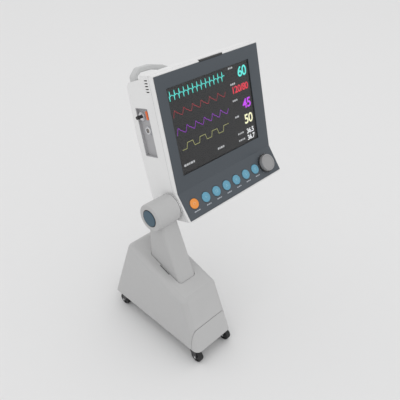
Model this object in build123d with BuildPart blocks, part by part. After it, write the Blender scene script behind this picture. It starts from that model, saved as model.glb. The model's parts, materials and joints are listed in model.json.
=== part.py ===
from build123d import *
import os
from math import cos, radians, sin

# Patient monitor on a wheeled pedestal. Millimetres, +X to the viewer's right, +Y to the back,
# +Z up. The origin is the bottom centre of the whole object's box: the wheels stand on Z = 0.
os.makedirs("parts", exist_ok=True)

# ---------------------------------------------------------------- driving dimensions
# display and front
DISPLAY_W, DISPLAY_H = 306.0, 230.0  # visible screen opening
SIDE_MARGIN = 37.0  # bezel beside the opening
TOP_MARGIN = 36.0  # bezel above the opening
BOTTOM_MARGIN = 40.0  # bezel between the opening and the kink
SCREEN_SHIFT = -5.0  # the opening sits a little to the left
PANEL_LENGTH = 79.5  # control panel below the kink
UPPER_LEAN = 14.0  # degrees, screen face leans back
LOWER_LEAN = 38.0  # degrees, control panel leans back
BEZEL_T = 5.0
GLASS_LEDGE = 2.0  # bezel left in front of the glass
GLASS_T, LCD_T = 2.0, 8.0
GLASS_LAP = 4.0  # glass behind the bezel, each side
FIT_GAP = 0.3  # loose fit between moulded pieces

# controls
KEY_COUNT = 6
KEY_D, KEY_HOLE_GAP = 28.0, 0.5
KEY_PROUD, KEY_TRAVEL = 2.0, 1.5
KEY_FLANGE_LIP, KEY_FLANGE_T = 1.0, 1.5
KEY_STEM_D, KEY_STEM_L = 8.0, 2.5
POWER_INSET, KNOB_INSET = 34.0, 46.0  # from the ends of the panel
KEY_TO_POWER, KEY_TO_KNOB = 44.5, 49.0
CONTROL_DROP = 41.8  # controls' line below the kink
KEYPAD_GAP, KEYPAD_T = 9.0, 1.6  # keypad board behind the panel
POST_D, POST_UP = 5.2, 15.0  # keypad posts, above the controls' line
SWITCH_SIDE, SWITCH_H = 6.0, 2.9
KNOB_D, KNOB_H, KNOB_SKIRT_D, KNOB_SKIRT_H = 51.0, 10.5, 56.0, 3.0
KNOB_LIFT = 1.0  # skirt above the panel
KNOB_SHAFT_D, KNOB_TRAVEL = 6.0, 0.6
RUN_GAP = 0.05  # radial running clearance of every shaft

# monitor case
CASE_RIM = 5.0  # case visible round the bezel
CASE_WALL = 2.8
CASE_SETBACK = 1.0  # rim behind the bezel's face
CASE_LIP = 14.0  # depth of the thick front rim
CASE_DEPTH = 113.0
CASE_BELLY = 7.0  # the back bulges this much half way up
TOP_STEP_AT, TOP_STEP = 46.0, 10.0  # the rear shell's top is lower
TOP_FALL = 19.0  # and falls towards the back
BOTTOM_FALL = 21.0  # case floor under the front lip
FLOOR_FALL, FLOOR_REACH = 43.0, 88.0  # case floor's rear end, below the panel's foot and behind the kink
BACK_BEVEL, STEP_RAMP = 9.0, 5.0  # bevel of the top rear edge, ramp of the roof's step
REAR_RISE = 26.5  # the flat back starts this far below the kink
CASE_ROUND = 7.0

# pivot between neck and monitor
PIVOT_H = 388.0  # pivot axis above the floor
PIVOT_BELOW, PIVOT_BEHIND = 40.7, 16.0  # from the kink line
PIVOT_BACK = 13.0  # behind the pedestal's middle
SHAFT_D = 24.0
BUSH_T, BUSH_L = 3.0, 15.0
DRUM_D = 77.0
DRUM_LEFT, DRUM_RIGHT = 46.5, 27.5  # drum ends either side of the pedestal's middle
HUB_D, HUB_L = 66.0, 5.0
WASHER_D, WASHER_T = 73.0, 2.4
SIDE_GAP = 0.3  # between faces of different bodies
CAP_D, CAP_T, CAP_PROUD = 45.0, 3.5, 1.5
FLANGE_D, FLANGE_T = 60.0, 6.0
BRACKET_T = 3.0

# pedestal
BASE_LENGTH, BASE_WIDTH = 363.0, 136.0
COVER_LIFT = 2.0  # caster crown to the cover's lower edge
FRONT_H, REAR_H = 193.0, 265.0  # top edges of the front and rear faces
FRONT_RUN, REAR_RUN = 58.5, 79.5  # how far those faces lean in
SIDE_DRAFT = 6.0  # each side leans in this much up to the rear top
BASE_WALL = 3.5
CORNER_ROUND = 17.0
DOOR_H = 63.0  # front service panel
DOOR_DEPTH = 24.0
SEAM = 0.8
PLATE_T = 5.0
NECK_TOP_W, NECK_TOP_D = 55.5, 60.0
NECK_FOOT_W, NECK_FOOT_D = 58.0, 122.0
NECK_FOOT_H = 205.0
NECK_WALL = 3.5
NECK_GAP = 1.0  # neck in the cover's hole
MAST_W, MAST_D, MAST_WALL = 22.0, 40.0, 3.0
SLOT_L, SLOT_W = 38.0, 2.4  # dark slot at the neck's foot

# casters
WHEEL_D, WHEEL_W, TYRE_T = 35.0, 15.0, 5.0
TRAIL = 12.0
TRACK_HALF = 55.0
FRONT_CASTER_IN, REAR_CASTER_IN = 25.5, 48.5  # swivel axes from the ends of the base
AXLE_D, STEM_D = 5.0, 10.0
CHEEK_T, CHEEK_GAP = 2.5, 0.6
CROWN_T, CROWN_GAP = 3.2, 1.8

# ---------------------------------------------------------------- derived places
CROWN_TOP = WHEEL_D + CROWN_GAP + CROWN_T
BASE_CLEAR = CROWN_TOP + COVER_LIFT  # floor to the cover's lower edge
BEZEL_W = DISPLAY_W + 2 * SIDE_MARGIN
UPPER_LENGTH = BOTTOM_MARGIN + DISPLAY_H + TOP_MARGIN
SCREEN_UP = BOTTOM_MARGIN + DISPLAY_H / 2
CASE_W = BEZEL_W + 2 * CASE_RIM
HUB_FACE = DRUM_RIGHT + SIDE_GAP + WASHER_T  # washer to hub
CASE_LEFT_OFF = HUB_FACE + HUB_L  # case side from the pedestal's middle
MON_OFF = CASE_LEFT_OFF + CASE_W / 2

FRONT_WHEEL_Y = -BASE_LENGTH / 2 + FRONT_CASTER_IN - TRAIL
REAR_WHEEL_Y = BASE_LENGTH / 2 - REAR_CASTER_IN + TRAIL
Y_LOW = min(-BASE_LENGTH / 2, FRONT_WHEEL_Y - WHEEL_D / 2)
Y_HIGH = max(BASE_LENGTH / 2, REAR_WHEEL_Y + WHEEL_D / 2)
X_LOW, X_HIGH = -BASE_WIDTH / 2, MON_OFF + CASE_W / 2
PED_X, PED_Y = -(X_LOW + X_HIGH) / 2, -(Y_LOW + Y_HIGH) / 2
MON_X = PED_X + MON_OFF
CASE_LEFT = MON_X - CASE_W / 2
PIVOT_Y = PED_Y + PIVOT_BACK
KINK_Y, KINK_Z = PIVOT_Y - PIVOT_BEHIND, PIVOT_H + PIVOT_BELOW

SA, CA = sin(radians(UPPER_LEAN)), cos(radians(UPPER_LEAN))
SB, CB = sin(radians(LOWER_LEAN)), cos(radians(LOWER_LEAN))
MITRE = radians((UPPER_LEAN + LOWER_LEAN) / 2)
HALF_KINK = radians((LOWER_LEAN - UPPER_LEAN) / 2)

SCREEN = Plane(origin=(MON_X, KINK_Y, KINK_Z), x_dir=(1, 0, 0), z_dir=(0, -CA, SA))
PANEL = Plane(origin=(MON_X, KINK_Y, KINK_Z), x_dir=(1, 0, 0), z_dir=(0, -CB, SB))
# looking at the case's left side: local x runs to the front, local y up along the screen
LEFT = Plane(origin=(CASE_LEFT, KINK_Y, KINK_Z), x_dir=(0, -CA, SA), z_dir=(-1, 0, 0))
MID = Plane.YZ.offset(MON_X)
PED = Plane(origin=(PED_X, PED_Y, 0))
PED_SIDE = Plane(origin=(PED_X, PED_Y, 0), x_dir=(0, 1, 0), z_dir=(1, 0, 0))
PIVOT = Plane(origin=(PED_X, PIVOT_Y, PIVOT_H), x_dir=(0, 1, 0), z_dir=(1, 0, 0))


def upper(up, deep):
    """Side-profile point: up along the screen face from the kink, deep behind it."""
    return (KINK_Y + up * SA + deep * CA, KINK_Z + up * CA - deep * SA)


def lower(up, deep):
    """The same on the control panel, where up is negative."""
    return (KINK_Y + up * SB + deep * CB, KINK_Z + up * CB - deep * SB)


def kink(deep):
    """Mitred corner of the two faces at one depth."""
    reach = deep / cos(HALF_KINK)
    return (KINK_Y + reach * cos(MITRE), KINK_Z - reach * sin(MITRE))


def finish(builder, name):
    """Label a finished sub-part and write its STEP file."""
    builder.part.label = name
    export_step(builder.part, "parts/" + name + ".step")


def front_depth(point):
    """Depth of a point behind the nearer of the two front faces."""
    y, z = point.Y - KINK_Y, point.Z - KINK_Z
    return max(y * CA - z * SA, y * CB - z * SB)


# ---------------------------------------------------------------- monitor case
CASE_FLOOR_REAR = (KINK_Y + FLOOR_REACH, KINK_Z - PANEL_LENGTH * CB - FLOOR_FALL)
CASE_FLOOR_FRONT = (KINK_Y, KINK_Z - PANEL_LENGTH * CB - BOTTOM_FALL)
case_outline = [
    upper(UPPER_LENGTH + CASE_RIM, CASE_SETBACK),
    kink(CASE_SETBACK),
    lower(-PANEL_LENGTH - CASE_RIM, CASE_SETBACK),
    CASE_FLOOR_FRONT,
    CASE_FLOOR_REAR,
    upper(-REAR_RISE, CASE_DEPTH),
    upper(UPPER_LENGTH / 2, CASE_DEPTH + CASE_BELLY),
    upper(UPPER_LENGTH + CASE_RIM - TOP_FALL - BACK_BEVEL, CASE_DEPTH),
    upper(UPPER_LENGTH + CASE_RIM - TOP_FALL, CASE_DEPTH - BACK_BEVEL),
    upper(UPPER_LENGTH + CASE_RIM - TOP_STEP, TOP_STEP_AT + STEP_RAMP),
    upper(UPPER_LENGTH + CASE_RIM, TOP_STEP_AT),
]

# recess of the connector panel on the left side
RECESS_BACK = 44.0  # recess centre, in front of the case's back
RECESS_UP, RECESS_DEEP = 163.0, CASE_DEPTH - RECESS_BACK
RECESS_L, RECESS_W, RECESS_IN = 131.0, 49.0, 7.5
TRAY_WALL, TRAY_GAP = 1.5, 0.2
COUPLING_UP, COUPLING_DEEP, COUPLING_D = 206.0, RECESS_DEEP + 10.5, 22.0
PORT_UP, PORT_DEEP, PORT_D, PORT_BORE = 168.0, RECESS_DEEP - 1.0, 21.0, 12.0
TAB_L, TAB_W, TAB_IN = 22.0, 7.0, 1.0  # tab inside the tray's front wall
TAB_UP, TAB_DEEP = 211.0, RECESS_DEEP - RECESS_W / 2 + TRAY_GAP + TRAY_WALL + TAB_IN + TAB_W / 2
TAB_PROUD, TAB_TRAVEL = 1.2, 1.0
VENT_UP, VENT_DEEP, VENT_PITCH, VENT_COUNT = 271.0, 27.0, 7.0, 5
VENT_L, VENT_W = 13.0, 3.0

# alarm light in the top rim
ALARM_X, ALARM_L, ALARM_DEEP = 7.0, 86.0, 7.0

# rear bolt pattern, 100 mm square
VESA_PITCH, VESA_UP, INSERT_D, INSERT_BORE, INSERT_L = 100.0, 150.0, 7.0, 4.0, 8.0
INSERT_FACE = CASE_DEPTH + 4.0
BOSS_D, BOSS_L = 13.0, 11.0
# power inlet, battery and speaker at the back
INLET_X, INLET_UP, INLET_D, INLET_BORE, INLET_L = 125.0, 24.0, 20.0, 12.0, 24.0
INLET_SOCKET = 9.0
BATTERY_X, BATTERY_UP = -60.0, 30.0
BATTERY_W, BATTERY_H, BATTERY_T = 150.0, 62.0, 22.0
SPEAKER_X, SPEAKER_UP, SPEAKER_D, SPEAKER_T = 110.0, 205.0, 50.0, 14.0
SPEAKER_FACE, SPEAKER_RING = CASE_DEPTH, 2.5
SOUND_HOLE_D, SOUND_RING, SOUND_RINGS = 3.2, 6.5, 3  # speaker holes on rings
BACK_VENT_L, BACK_VENT_W, BACK_VENT_PITCH, BACK_VENTS, BACK_VENT_DROP = 26.0, 4.0, 12.0, 18, 48.0
DOOR_LAP, DOOR_ROUND = 6.0, 4.0  # battery door over its bay
REAR_SKIN = CASE_DEPTH + 2 * CASE_BELLY  # a plane just outside the back

with BuildPart() as case_void:
    with BuildSketch(MID):
        with BuildLine():
            Polyline(*case_outline, close=True)
        make_face()
        offset(amount=-CASE_WALL, kind=Kind.INTERSECTION)
    extrude(amount=CASE_W / 2 - CASE_WALL, both=True)
    rear_edges = edges().filter_by(lambda e: front_depth(e.center()) > CASE_DEPTH * 0.75)
    fillet(rear_edges, CASE_ROUND - CASE_WALL)
    # the thick front rim stays solid except for the bezel's own pocket
    with BuildSketch(MID):
        with BuildLine():
            Polyline(
                upper(UPPER_LENGTH + 3 * CASE_RIM, -CASE_RIM),
                kink(-CASE_RIM),
                lower(-PANEL_LENGTH - 3 * CASE_RIM, -CASE_RIM),
                lower(-PANEL_LENGTH - 3 * CASE_RIM, CASE_LIP),
                kink(CASE_LIP),
                upper(UPPER_LENGTH + 3 * CASE_RIM, CASE_LIP),
                close=True,
            )
        make_face()
    extrude(amount=CASE_W, both=True, mode=Mode.SUBTRACT)
    with BuildSketch(MID):
        with BuildLine():
            Polyline(
                upper(UPPER_LENGTH + FIT_GAP, -CASE_RIM),
                kink(-CASE_RIM),
                lower(-PANEL_LENGTH - FIT_GAP, -CASE_RIM),
                lower(-PANEL_LENGTH - FIT_GAP, CASE_LIP + CASE_RIM),
                kink(CASE_LIP + CASE_RIM),
                upper(UPPER_LENGTH + FIT_GAP, CASE_LIP + CASE_RIM),
                close=True,
            )
        make_face()
    extrude(amount=BEZEL_W / 2 + FIT_GAP, both=True)

with BuildPart() as rear_case:
    with BuildSketch(MID):
        with BuildLine():
            Polyline(*case_outline, close=True)
        make_face()
    extrude(amount=CASE_W / 2, both=True)
    outer_rear = edges().filter_by(lambda e: front_depth(e.center()) > CASE_DEPTH * 0.75)
    fillet(outer_rear, CASE_ROUND)
    rim_edges = edges().filter_by(
        lambda e: abs(front_depth(e.center()) - CASE_SETBACK) < 0.5
        and (abs(e.center().X - MON_X) > 1 or abs(e.center().Z - KINK_Z) > 20)
    )
    chamfer(rim_edges, 2.5)
    add(case_void.part, mode=Mode.SUBTRACT)
    # window of the side recess and the side vents, through the left wall
    with BuildSketch(LEFT):
        with Locations((-RECESS_DEEP, RECESS_UP)):
            RectangleRounded(RECESS_W, RECESS_L, 2)
        for i in range(VENT_COUNT):
            with Locations((-VENT_DEEP, VENT_UP + i * VENT_PITCH)):
                SlotOverall(VENT_L, VENT_W)
    extrude(amount=-2 * CASE_WALL, mode=Mode.SUBTRACT)
    # hole for the pivot shaft
    with BuildSketch(PIVOT.offset(CASE_LEFT - PED_X)):
        Circle(SHAFT_D / 2 + FIT_GAP)
    extrude(amount=2 * CASE_WALL, both=True, mode=Mode.SUBTRACT)
    # notch for the alarm light in the top rim
    with BuildSketch(SCREEN.offset(CASE_RIM)):
        with Locations((ALARM_X, UPPER_LENGTH + CASE_RIM)):
            Rectangle(ALARM_L + 2 * FIT_GAP, 2 * CASE_RIM - 2 * FIT_GAP)
    extrude(amount=-CASE_RIM - ALARM_DEEP, mode=Mode.SUBTRACT)
    # bosses and seats of the rear inserts
    with BuildSketch(SCREEN.offset(-INSERT_FACE + 1)):
        with Locations((0, VESA_UP)):
            with GridLocations(VESA_PITCH, VESA_PITCH, 2, 2):
                Circle(BOSS_D / 2)
    extrude(amount=BOSS_L)
    with BuildSketch(SCREEN.offset(-SPEAKER_FACE)):
        with Locations((SPEAKER_X, SPEAKER_UP)):
            Circle(SPEAKER_D / 2)
            Circle(SPEAKER_D / 2 - CASE_WALL, mode=Mode.SUBTRACT)
    extrude(amount=-SPEAKER_RING)
    with BuildSketch(SCREEN.offset(-REAR_SKIN)):
        with Locations((0, VESA_UP)):
            with GridLocations(VESA_PITCH, VESA_PITCH, 2, 2):
                Circle(INSERT_D / 2)
        # back vents
        with Locations((0, UPPER_LENGTH - BACK_VENT_DROP)):
            with GridLocations(BACK_VENT_PITCH, 1, BACK_VENTS, 1):
                SlotOverall(BACK_VENT_L, BACK_VENT_W, rotation=90)
        # inlet, battery bay and the speaker's holes
        with Locations((INLET_X, INLET_UP)):
            Circle(INLET_D / 2)
        with Locations((BATTERY_X, BATTERY_UP)):
            bay_w, bay_h = BATTERY_W + DOOR_LAP + 2 * FIT_GAP, BATTERY_H + DOOR_LAP + 2 * FIT_GAP
            RectangleRounded(bay_w, bay_h, DOOR_ROUND)
        with Locations((SPEAKER_X, SPEAKER_UP)):
            for ring in range(SOUND_RINGS):
                with PolarLocations(SOUND_RING * ring, max(1, 6 * ring)):
                    Circle(SOUND_HOLE_D / 2)
    extrude(amount=3 * CASE_BELLY, mode=Mode.SUBTRACT)
finish(rear_case, "rear_case")

# ---------------------------------------------------------------- bezel, panel and display
SCREW_BOSS_D, SCREW_PILOT = 9.0, 2.5
GLASS_W, GLASS_H = DISPLAY_W + 2 * GLASS_LAP, DISPLAY_H + 2 * GLASS_LAP
LCD_FACE = GLASS_LEDGE + GLASS_T
BRACKET_FACE = LCD_FACE + LCD_T
SHEET_T = 1.2
BRACKET_LEFT = -(CASE_W / 2 - CASE_WALL - BRACKET_T)
BRACKET_RIGHT = SCREEN_SHIFT + GLASS_W / 2 + 16.0
BRACKET_H = GLASS_H + 12.0
BOSS_X, BOSS_Y = GLASS_W / 2 + 7.0, GLASS_H / 2 - 30.0
BOARD_X, BOARD_UP, BOARD_W, BOARD_H, BOARD_T = 15.0, 178.0, 220.0, 150.0, 1.6
STUD_IN, STUD_R, STUD_L = 10.0, 3.2, 16.0  # board studs, in from the board's edges

with BuildPart() as screen_bezel:
    with BuildSketch(MID):
        with BuildLine():
            Polyline(upper(UPPER_LENGTH, 0), kink(0), kink(BEZEL_T), upper(UPPER_LENGTH, BEZEL_T), close=True)
        make_face()
    extrude(amount=BEZEL_W / 2, both=True)
    top_edge = edges().filter_by(Axis.X).sort_by(Axis.Z)[-2:].sort_by(Axis.Y)[0]
    chamfer(top_edge, 1.2)
    with BuildSketch(SCREEN):
        with Locations((SCREEN_SHIFT, SCREEN_UP)):
            Rectangle(DISPLAY_W, DISPLAY_H)
    extrude(amount=-2 * BEZEL_T, mode=Mode.SUBTRACT)
    with BuildSketch(SCREEN.offset(-GLASS_LEDGE)):
        with Locations((SCREEN_SHIFT, SCREEN_UP)):
            RectangleRounded(GLASS_W + 2 * FIT_GAP, GLASS_H + 2 * FIT_GAP, 2)
    extrude(amount=-2 * BEZEL_T, mode=Mode.SUBTRACT)
    opening = edges().filter_by(
        lambda e: abs(SCREEN.to_local_coords(e.center()).Z) < 0.01
        and abs(SCREEN.to_local_coords(e.center()).X - SCREEN_SHIFT) < DISPLAY_W / 2 + 1
        and abs(SCREEN.to_local_coords(e.center()).Y - SCREEN_UP) < DISPLAY_H / 2 + 1
    )
    chamfer(opening, 1.2)
    with BuildSketch(SCREEN.offset(-BEZEL_T)):
        with Locations((SCREEN_SHIFT, SCREEN_UP)):
            with GridLocations(2 * BOSS_X, 2 * BOSS_Y, 2, 2):
                Circle(SCREW_BOSS_D / 2)
                Circle(SCREW_PILOT / 2, mode=Mode.SUBTRACT)
    extrude(amount=-(BRACKET_FACE - BEZEL_T))
finish(screen_bezel, "screen_bezel")

with BuildPart() as screen_glass:
    with BuildSketch(SCREEN.offset(-GLASS_LEDGE)):
        with Locations((SCREEN_SHIFT, SCREEN_UP)):
            RectangleRounded(GLASS_W, GLASS_H, 2)
    extrude(amount=-GLASS_T)
finish(screen_glass, "screen_glass")

with BuildPart() as lcd_module:
    with BuildSketch(SCREEN.offset(-LCD_FACE)):
        with Locations((SCREEN_SHIFT, SCREEN_UP)):
            RectangleRounded(GLASS_W, GLASS_H, 2)
    extrude(amount=-LCD_T)
finish(lcd_module, "lcd_module")

with BuildPart() as display_bracket:
    with BuildSketch(SCREEN.offset(-BRACKET_FACE)):
        with Locations(((BRACKET_LEFT + BRACKET_RIGHT) / 2, SCREEN_UP)):
            Rectangle(BRACKET_RIGHT - BRACKET_LEFT, BRACKET_H)
        with Locations((SCREEN_SHIFT, SCREEN_UP + 60), (SCREEN_SHIFT, SCREEN_UP - 75)):
            RectangleRounded(DISPLAY_W - 60, 45, 8, mode=Mode.SUBTRACT)
        with Locations((SCREEN_SHIFT, SCREEN_UP)):
            with GridLocations(2 * BOSS_X, 2 * BOSS_Y, 2, 2):
                Circle(SCREW_PILOT / 2 + FIT_GAP, mode=Mode.SUBTRACT)
    extrude(amount=-SHEET_T)
    with BuildSketch(SCREEN.offset(-BRACKET_FACE - SHEET_T)):
        with Locations((BOARD_X, BOARD_UP)):
            with GridLocations(BOARD_W - 2 * STUD_IN, BOARD_H - 2 * STUD_IN, 2, 2):
                RegularPolygon(STUD_R, 6)
    extrude(amount=-STUD_L)
finish(display_bracket, "display_bracket")

with BuildPart() as bracket_screws:
    with BuildSketch(SCREEN.offset(-BRACKET_FACE - SHEET_T)):
        with Locations((SCREEN_SHIFT, SCREEN_UP)):
            with GridLocations(2 * BOSS_X, 2 * BOSS_Y, 2, 2):
                Circle(2.8)
    extrude(amount=-2.2)
    with BuildSketch(SCREEN.offset(-BRACKET_FACE - SHEET_T)):
        with Locations((SCREEN_SHIFT, SCREEN_UP)):
            with GridLocations(2 * BOSS_X, 2 * BOSS_Y, 2, 2):
                Circle(SCREW_PILOT / 2)
    extrude(amount=SHEET_T + 5)
finish(bracket_screws, "bracket_screws")

# controls: the power key, six menu keys and the knob on one line
POWER_X = -BEZEL_W / 2 + POWER_INSET
KNOB_X = BEZEL_W / 2 - KNOB_INSET
FIRST_KEY_X = POWER_X + KEY_TO_POWER
LAST_KEY_X = KNOB_X - KEY_TO_KNOB
KEY_PITCH = (LAST_KEY_X - FIRST_KEY_X) / (KEY_COUNT - 1)
key_places = [FIRST_KEY_X + i * KEY_PITCH for i in range(KEY_COUNT)]
KEYPAD_FACE = BEZEL_T + KEYPAD_GAP
KEYPAD_W, KEYPAD_H = BEZEL_W - 28.0, 40.0
BUSHING_D, BUSHING_L = 9.0, 3.0
ENCODER_SIDE, ENCODER_T = 16.0, 7.5
post_places = [(POWER_X + KEY_TO_POWER / 2, POST_UP), (LAST_KEY_X + KEY_PITCH / 2, POST_UP)]
post_places += [(x + KEY_PITCH / 2, POST_UP) for x in key_places[1:-1:2]]

with BuildPart() as control_panel:
    with BuildSketch(MID):
        with BuildLine():
            Polyline(
                kink(0), lower(-PANEL_LENGTH, 0), lower(-PANEL_LENGTH, BEZEL_T), kink(BEZEL_T), close=True
            )
        make_face()
    extrude(amount=BEZEL_W / 2, both=True)
    bottom_edge = edges().filter_by(Axis.X).sort_by(Axis.Y)[0]
    chamfer(bottom_edge, 1.2)
    with BuildSketch(PANEL):
        with Locations(*[(x, -CONTROL_DROP) for x in [POWER_X] + key_places]):
            Circle(KEY_D / 2 + KEY_HOLE_GAP)
        with Locations((KNOB_X, -CONTROL_DROP)):
            Circle(BUSHING_D / 2)
    extrude(amount=-2 * BEZEL_T, mode=Mode.SUBTRACT)
    with BuildSketch(PANEL.offset(-BEZEL_T)):
        with Locations((0, -CONTROL_DROP)):
            with Locations(*post_places):
                Circle(POST_D / 2)
    extrude(amount=-KEYPAD_GAP)
finish(control_panel, "control_panel")


def make_key(name, x, dish):
    """One push key: cap through the panel, retaining flange behind it and a stem to its switch."""
    with BuildPart() as key:
        with BuildSketch(PANEL.offset(KEY_PROUD)):
            with Locations((x, -CONTROL_DROP)):
                Circle(KEY_D / 2)
        extrude(amount=-(KEY_PROUD + BEZEL_T + FIT_GAP))
        rim = edges().filter_by(GeomType.CIRCLE).filter_by(
            lambda e: abs(PANEL.to_local_coords(e.center()).Z - KEY_PROUD) < 0.01
        )
        fillet(rim, 1.2)
        with BuildSketch(PANEL.offset(-BEZEL_T - FIT_GAP)):
            with Locations((x, -CONTROL_DROP)):
                Circle(KEY_D / 2 + KEY_HOLE_GAP + KEY_FLANGE_LIP)
        extrude(amount=-KEY_FLANGE_T)
        with BuildSketch(PANEL.offset(-BEZEL_T - FIT_GAP - KEY_FLANGE_T)):
            with Locations((x, -CONTROL_DROP)):
                Circle(KEY_STEM_D / 2)
        extrude(amount=-KEY_STEM_L)
        with BuildSketch(PANEL.offset(KEY_PROUD)):
            with Locations((x, -CONTROL_DROP)):
                Circle(KEY_D / 2 - 3)
        extrude(amount=-dish, taper=45, mode=Mode.SUBTRACT)
    finish(key, name)


make_key("power_key", POWER_X, 0.8)
for number, place in enumerate(key_places, start=1):
    make_key(f"menu_key_{number}", place, 0.6)

with BuildPart() as keypad_board:
    with BuildSketch(PANEL.offset(-KEYPAD_FACE)):
        with Locations((0, -CONTROL_DROP)):
            RectangleRounded(KEYPAD_W, KEYPAD_H, 2)
        with Locations((KNOB_X, -CONTROL_DROP)):
            Circle(KNOB_SHAFT_D / 2 + 1, mode=Mode.SUBTRACT)
    extrude(amount=-KEYPAD_T)
    with BuildSketch(PANEL.offset(-KEYPAD_FACE)):
        with Locations(*[(x, -CONTROL_DROP) for x in [POWER_X] + key_places]):
            Rectangle(SWITCH_SIDE, SWITCH_SIDE)
    extrude(amount=SWITCH_H)
finish(keypad_board, "keypad_board")

# encoder: body and bushing, sliding carrier, then the shaft that turns in it
CARRIER_D, CARRIER_T = 10.0, 2.0
SHAFT_FOOT = BEZEL_T + 5.5
KNOB_ROOF = 5.0  # knob above the shaft's end
SHAFT_HEAD = KNOB_LIFT + KNOB_SKIRT_H + KNOB_H - KNOB_ROOF
with BuildPart() as encoder_body:
    with BuildSketch(PANEL.offset(-BEZEL_T)):
        with Locations((KNOB_X, -CONTROL_DROP)):
            Rectangle(ENCODER_SIDE, ENCODER_SIDE)
    extrude(amount=-KEYPAD_GAP)
    with BuildSketch(PANEL.offset(-BEZEL_T)):
        with Locations((KNOB_X, -CONTROL_DROP)):
            Circle(BUSHING_D / 2)
    extrude(amount=BEZEL_T)
    with BuildSketch(PANEL):
        with Locations((KNOB_X, -CONTROL_DROP)):
            Circle(KNOB_SHAFT_D / 2 + RUN_GAP)
    extrude(amount=-SHAFT_FOOT, mode=Mode.SUBTRACT)
    with BuildSketch(PANEL.offset(-SHAFT_FOOT + 1.0)):
        with Locations((KNOB_X, -CONTROL_DROP)):
            Circle(CARRIER_D / 2 + FIT_GAP)
    extrude(amount=-CARRIER_T - 1.0 - KNOB_TRAVEL - FIT_GAP, mode=Mode.SUBTRACT)
finish(encoder_body, "encoder_body")

with BuildPart() as encoder_carrier:
    with BuildSketch(PANEL.offset(-SHAFT_FOOT - RUN_GAP)):
        with Locations((KNOB_X, -CONTROL_DROP)):
            Circle(CARRIER_D / 2)
    extrude(amount=-CARRIER_T)
finish(encoder_carrier, "encoder_carrier")

with BuildPart() as encoder_shaft:
    with BuildSketch(PANEL.offset(-SHAFT_FOOT)):
        with Locations((KNOB_X, -CONTROL_DROP)):
            Circle(KNOB_SHAFT_D / 2)
    extrude(amount=SHAFT_FOOT + SHAFT_HEAD)
finish(encoder_shaft, "encoder_shaft")

FLUTES = 24
with BuildPart() as control_knob:
    with BuildSketch(PANEL.offset(KNOB_LIFT)):
        with Locations((KNOB_X, -CONTROL_DROP)):
            Circle(KNOB_SKIRT_D / 2)
    extrude(amount=KNOB_SKIRT_H)
    with BuildSketch(PANEL.offset(KNOB_LIFT + KNOB_SKIRT_H)):
        with Locations((KNOB_X, -CONTROL_DROP)):
            Circle(KNOB_D / 2)
    extrude(amount=KNOB_H, taper=3)
    crown = edges().filter_by(GeomType.CIRCLE).sort_by(
        lambda e: PANEL.to_local_coords(e.center()).Z
    )[-1]
    fillet(crown, 2.5)
    with BuildSketch(PANEL.offset(KNOB_LIFT + KNOB_SKIRT_H)):
        with Locations((KNOB_X, -CONTROL_DROP)):
            with PolarLocations(KNOB_D / 2 + 0.6, FLUTES):
                Circle(1.5)
    extrude(amount=KNOB_H - 3.5, mode=Mode.SUBTRACT)
    # dished top with a finger dimple, and the shaft's blind hole
    with BuildSketch(PANEL.offset(KNOB_LIFT + KNOB_SKIRT_H + KNOB_H)):
        with Locations((KNOB_X, -CONTROL_DROP)):
            Circle(KNOB_D / 2 - 5.5)
    extrude(amount=-1.0, taper=30, mode=Mode.SUBTRACT)
    with BuildSketch(PANEL.offset(KNOB_LIFT)):
        with Locations((KNOB_X, -CONTROL_DROP)):
            Circle(KNOB_SHAFT_D / 2)
    extrude(amount=SHAFT_HEAD - KNOB_LIFT, mode=Mode.SUBTRACT)
    with BuildSketch(PANEL.offset(KNOB_LIFT)):
        with Locations((KNOB_X, -CONTROL_DROP)):
            Circle(KNOB_SKIRT_D / 2 - 3)
            Circle(KNOB_SHAFT_D / 2 + 4, mode=Mode.SUBTRACT)
    extrude(amount=KNOB_SKIRT_H, mode=Mode.SUBTRACT)
finish(control_knob, "control_knob")


def bars(plane, spots, radius, length, mode=Mode.ADD):
    """Round bars, bosses or holes, one at each spot of a plane."""
    with BuildSketch(plane) as outline:
        with Locations(*spots):
            Circle(radius)
    extrude(outline.sketch, amount=length, mode=mode)


def block(plane, spot, wide, high, corner, length, mode=Mode.ADD):
    """Rectangular block with rounded corners on a plane."""
    with BuildSketch(plane) as outline:
        with Locations(spot):
            RectangleRounded(wide, high, corner)
    extrude(outline.sketch, amount=length, mode=mode)


# ---------------------------------------------------------------- left side connectors
TRAY_LAP, TRAY_LAP_T = 1.2, 1.5
COUPLING_NECK_D, COUPLING_COLLAR_D, COUPLING_BEHIND = 20.0, 18.0, 10.0
COUPLING_RING_H, COUPLING_COLLAR_H = 4.0, 2.5
NOZZLE_D, NOZZLE_OUT, NOZZLE_SEAT, NOZZLE_BORE = 9.0, 12.0, 14.0, 3.2
BARB_D, BARB_L, TIP_L = 11.4, 3.0, 4.0
PORT_PROUD, PORT_BEHIND, PORT_SOCKET, PORT_CHAMFER = 3.0, 8.0, 8.0, 0.8
TAB_FLANGE_T, TAB_FLANGE_X, TAB_FLANGE_Y = 1.5, 2.0, 5.0
TAB_RIDGES, TAB_RIDGE_PITCH, TAB_GROOVE = 4, 4.4, 0.5
coupling_spot = (-COUPLING_DEEP, COUPLING_UP)
port_spot = (-PORT_DEEP, PORT_UP)
recess_spot = (-RECESS_DEEP, RECESS_UP)
tray_w, tray_l = RECESS_W - 2 * TRAY_GAP, RECESS_L - 2 * TRAY_GAP

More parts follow.
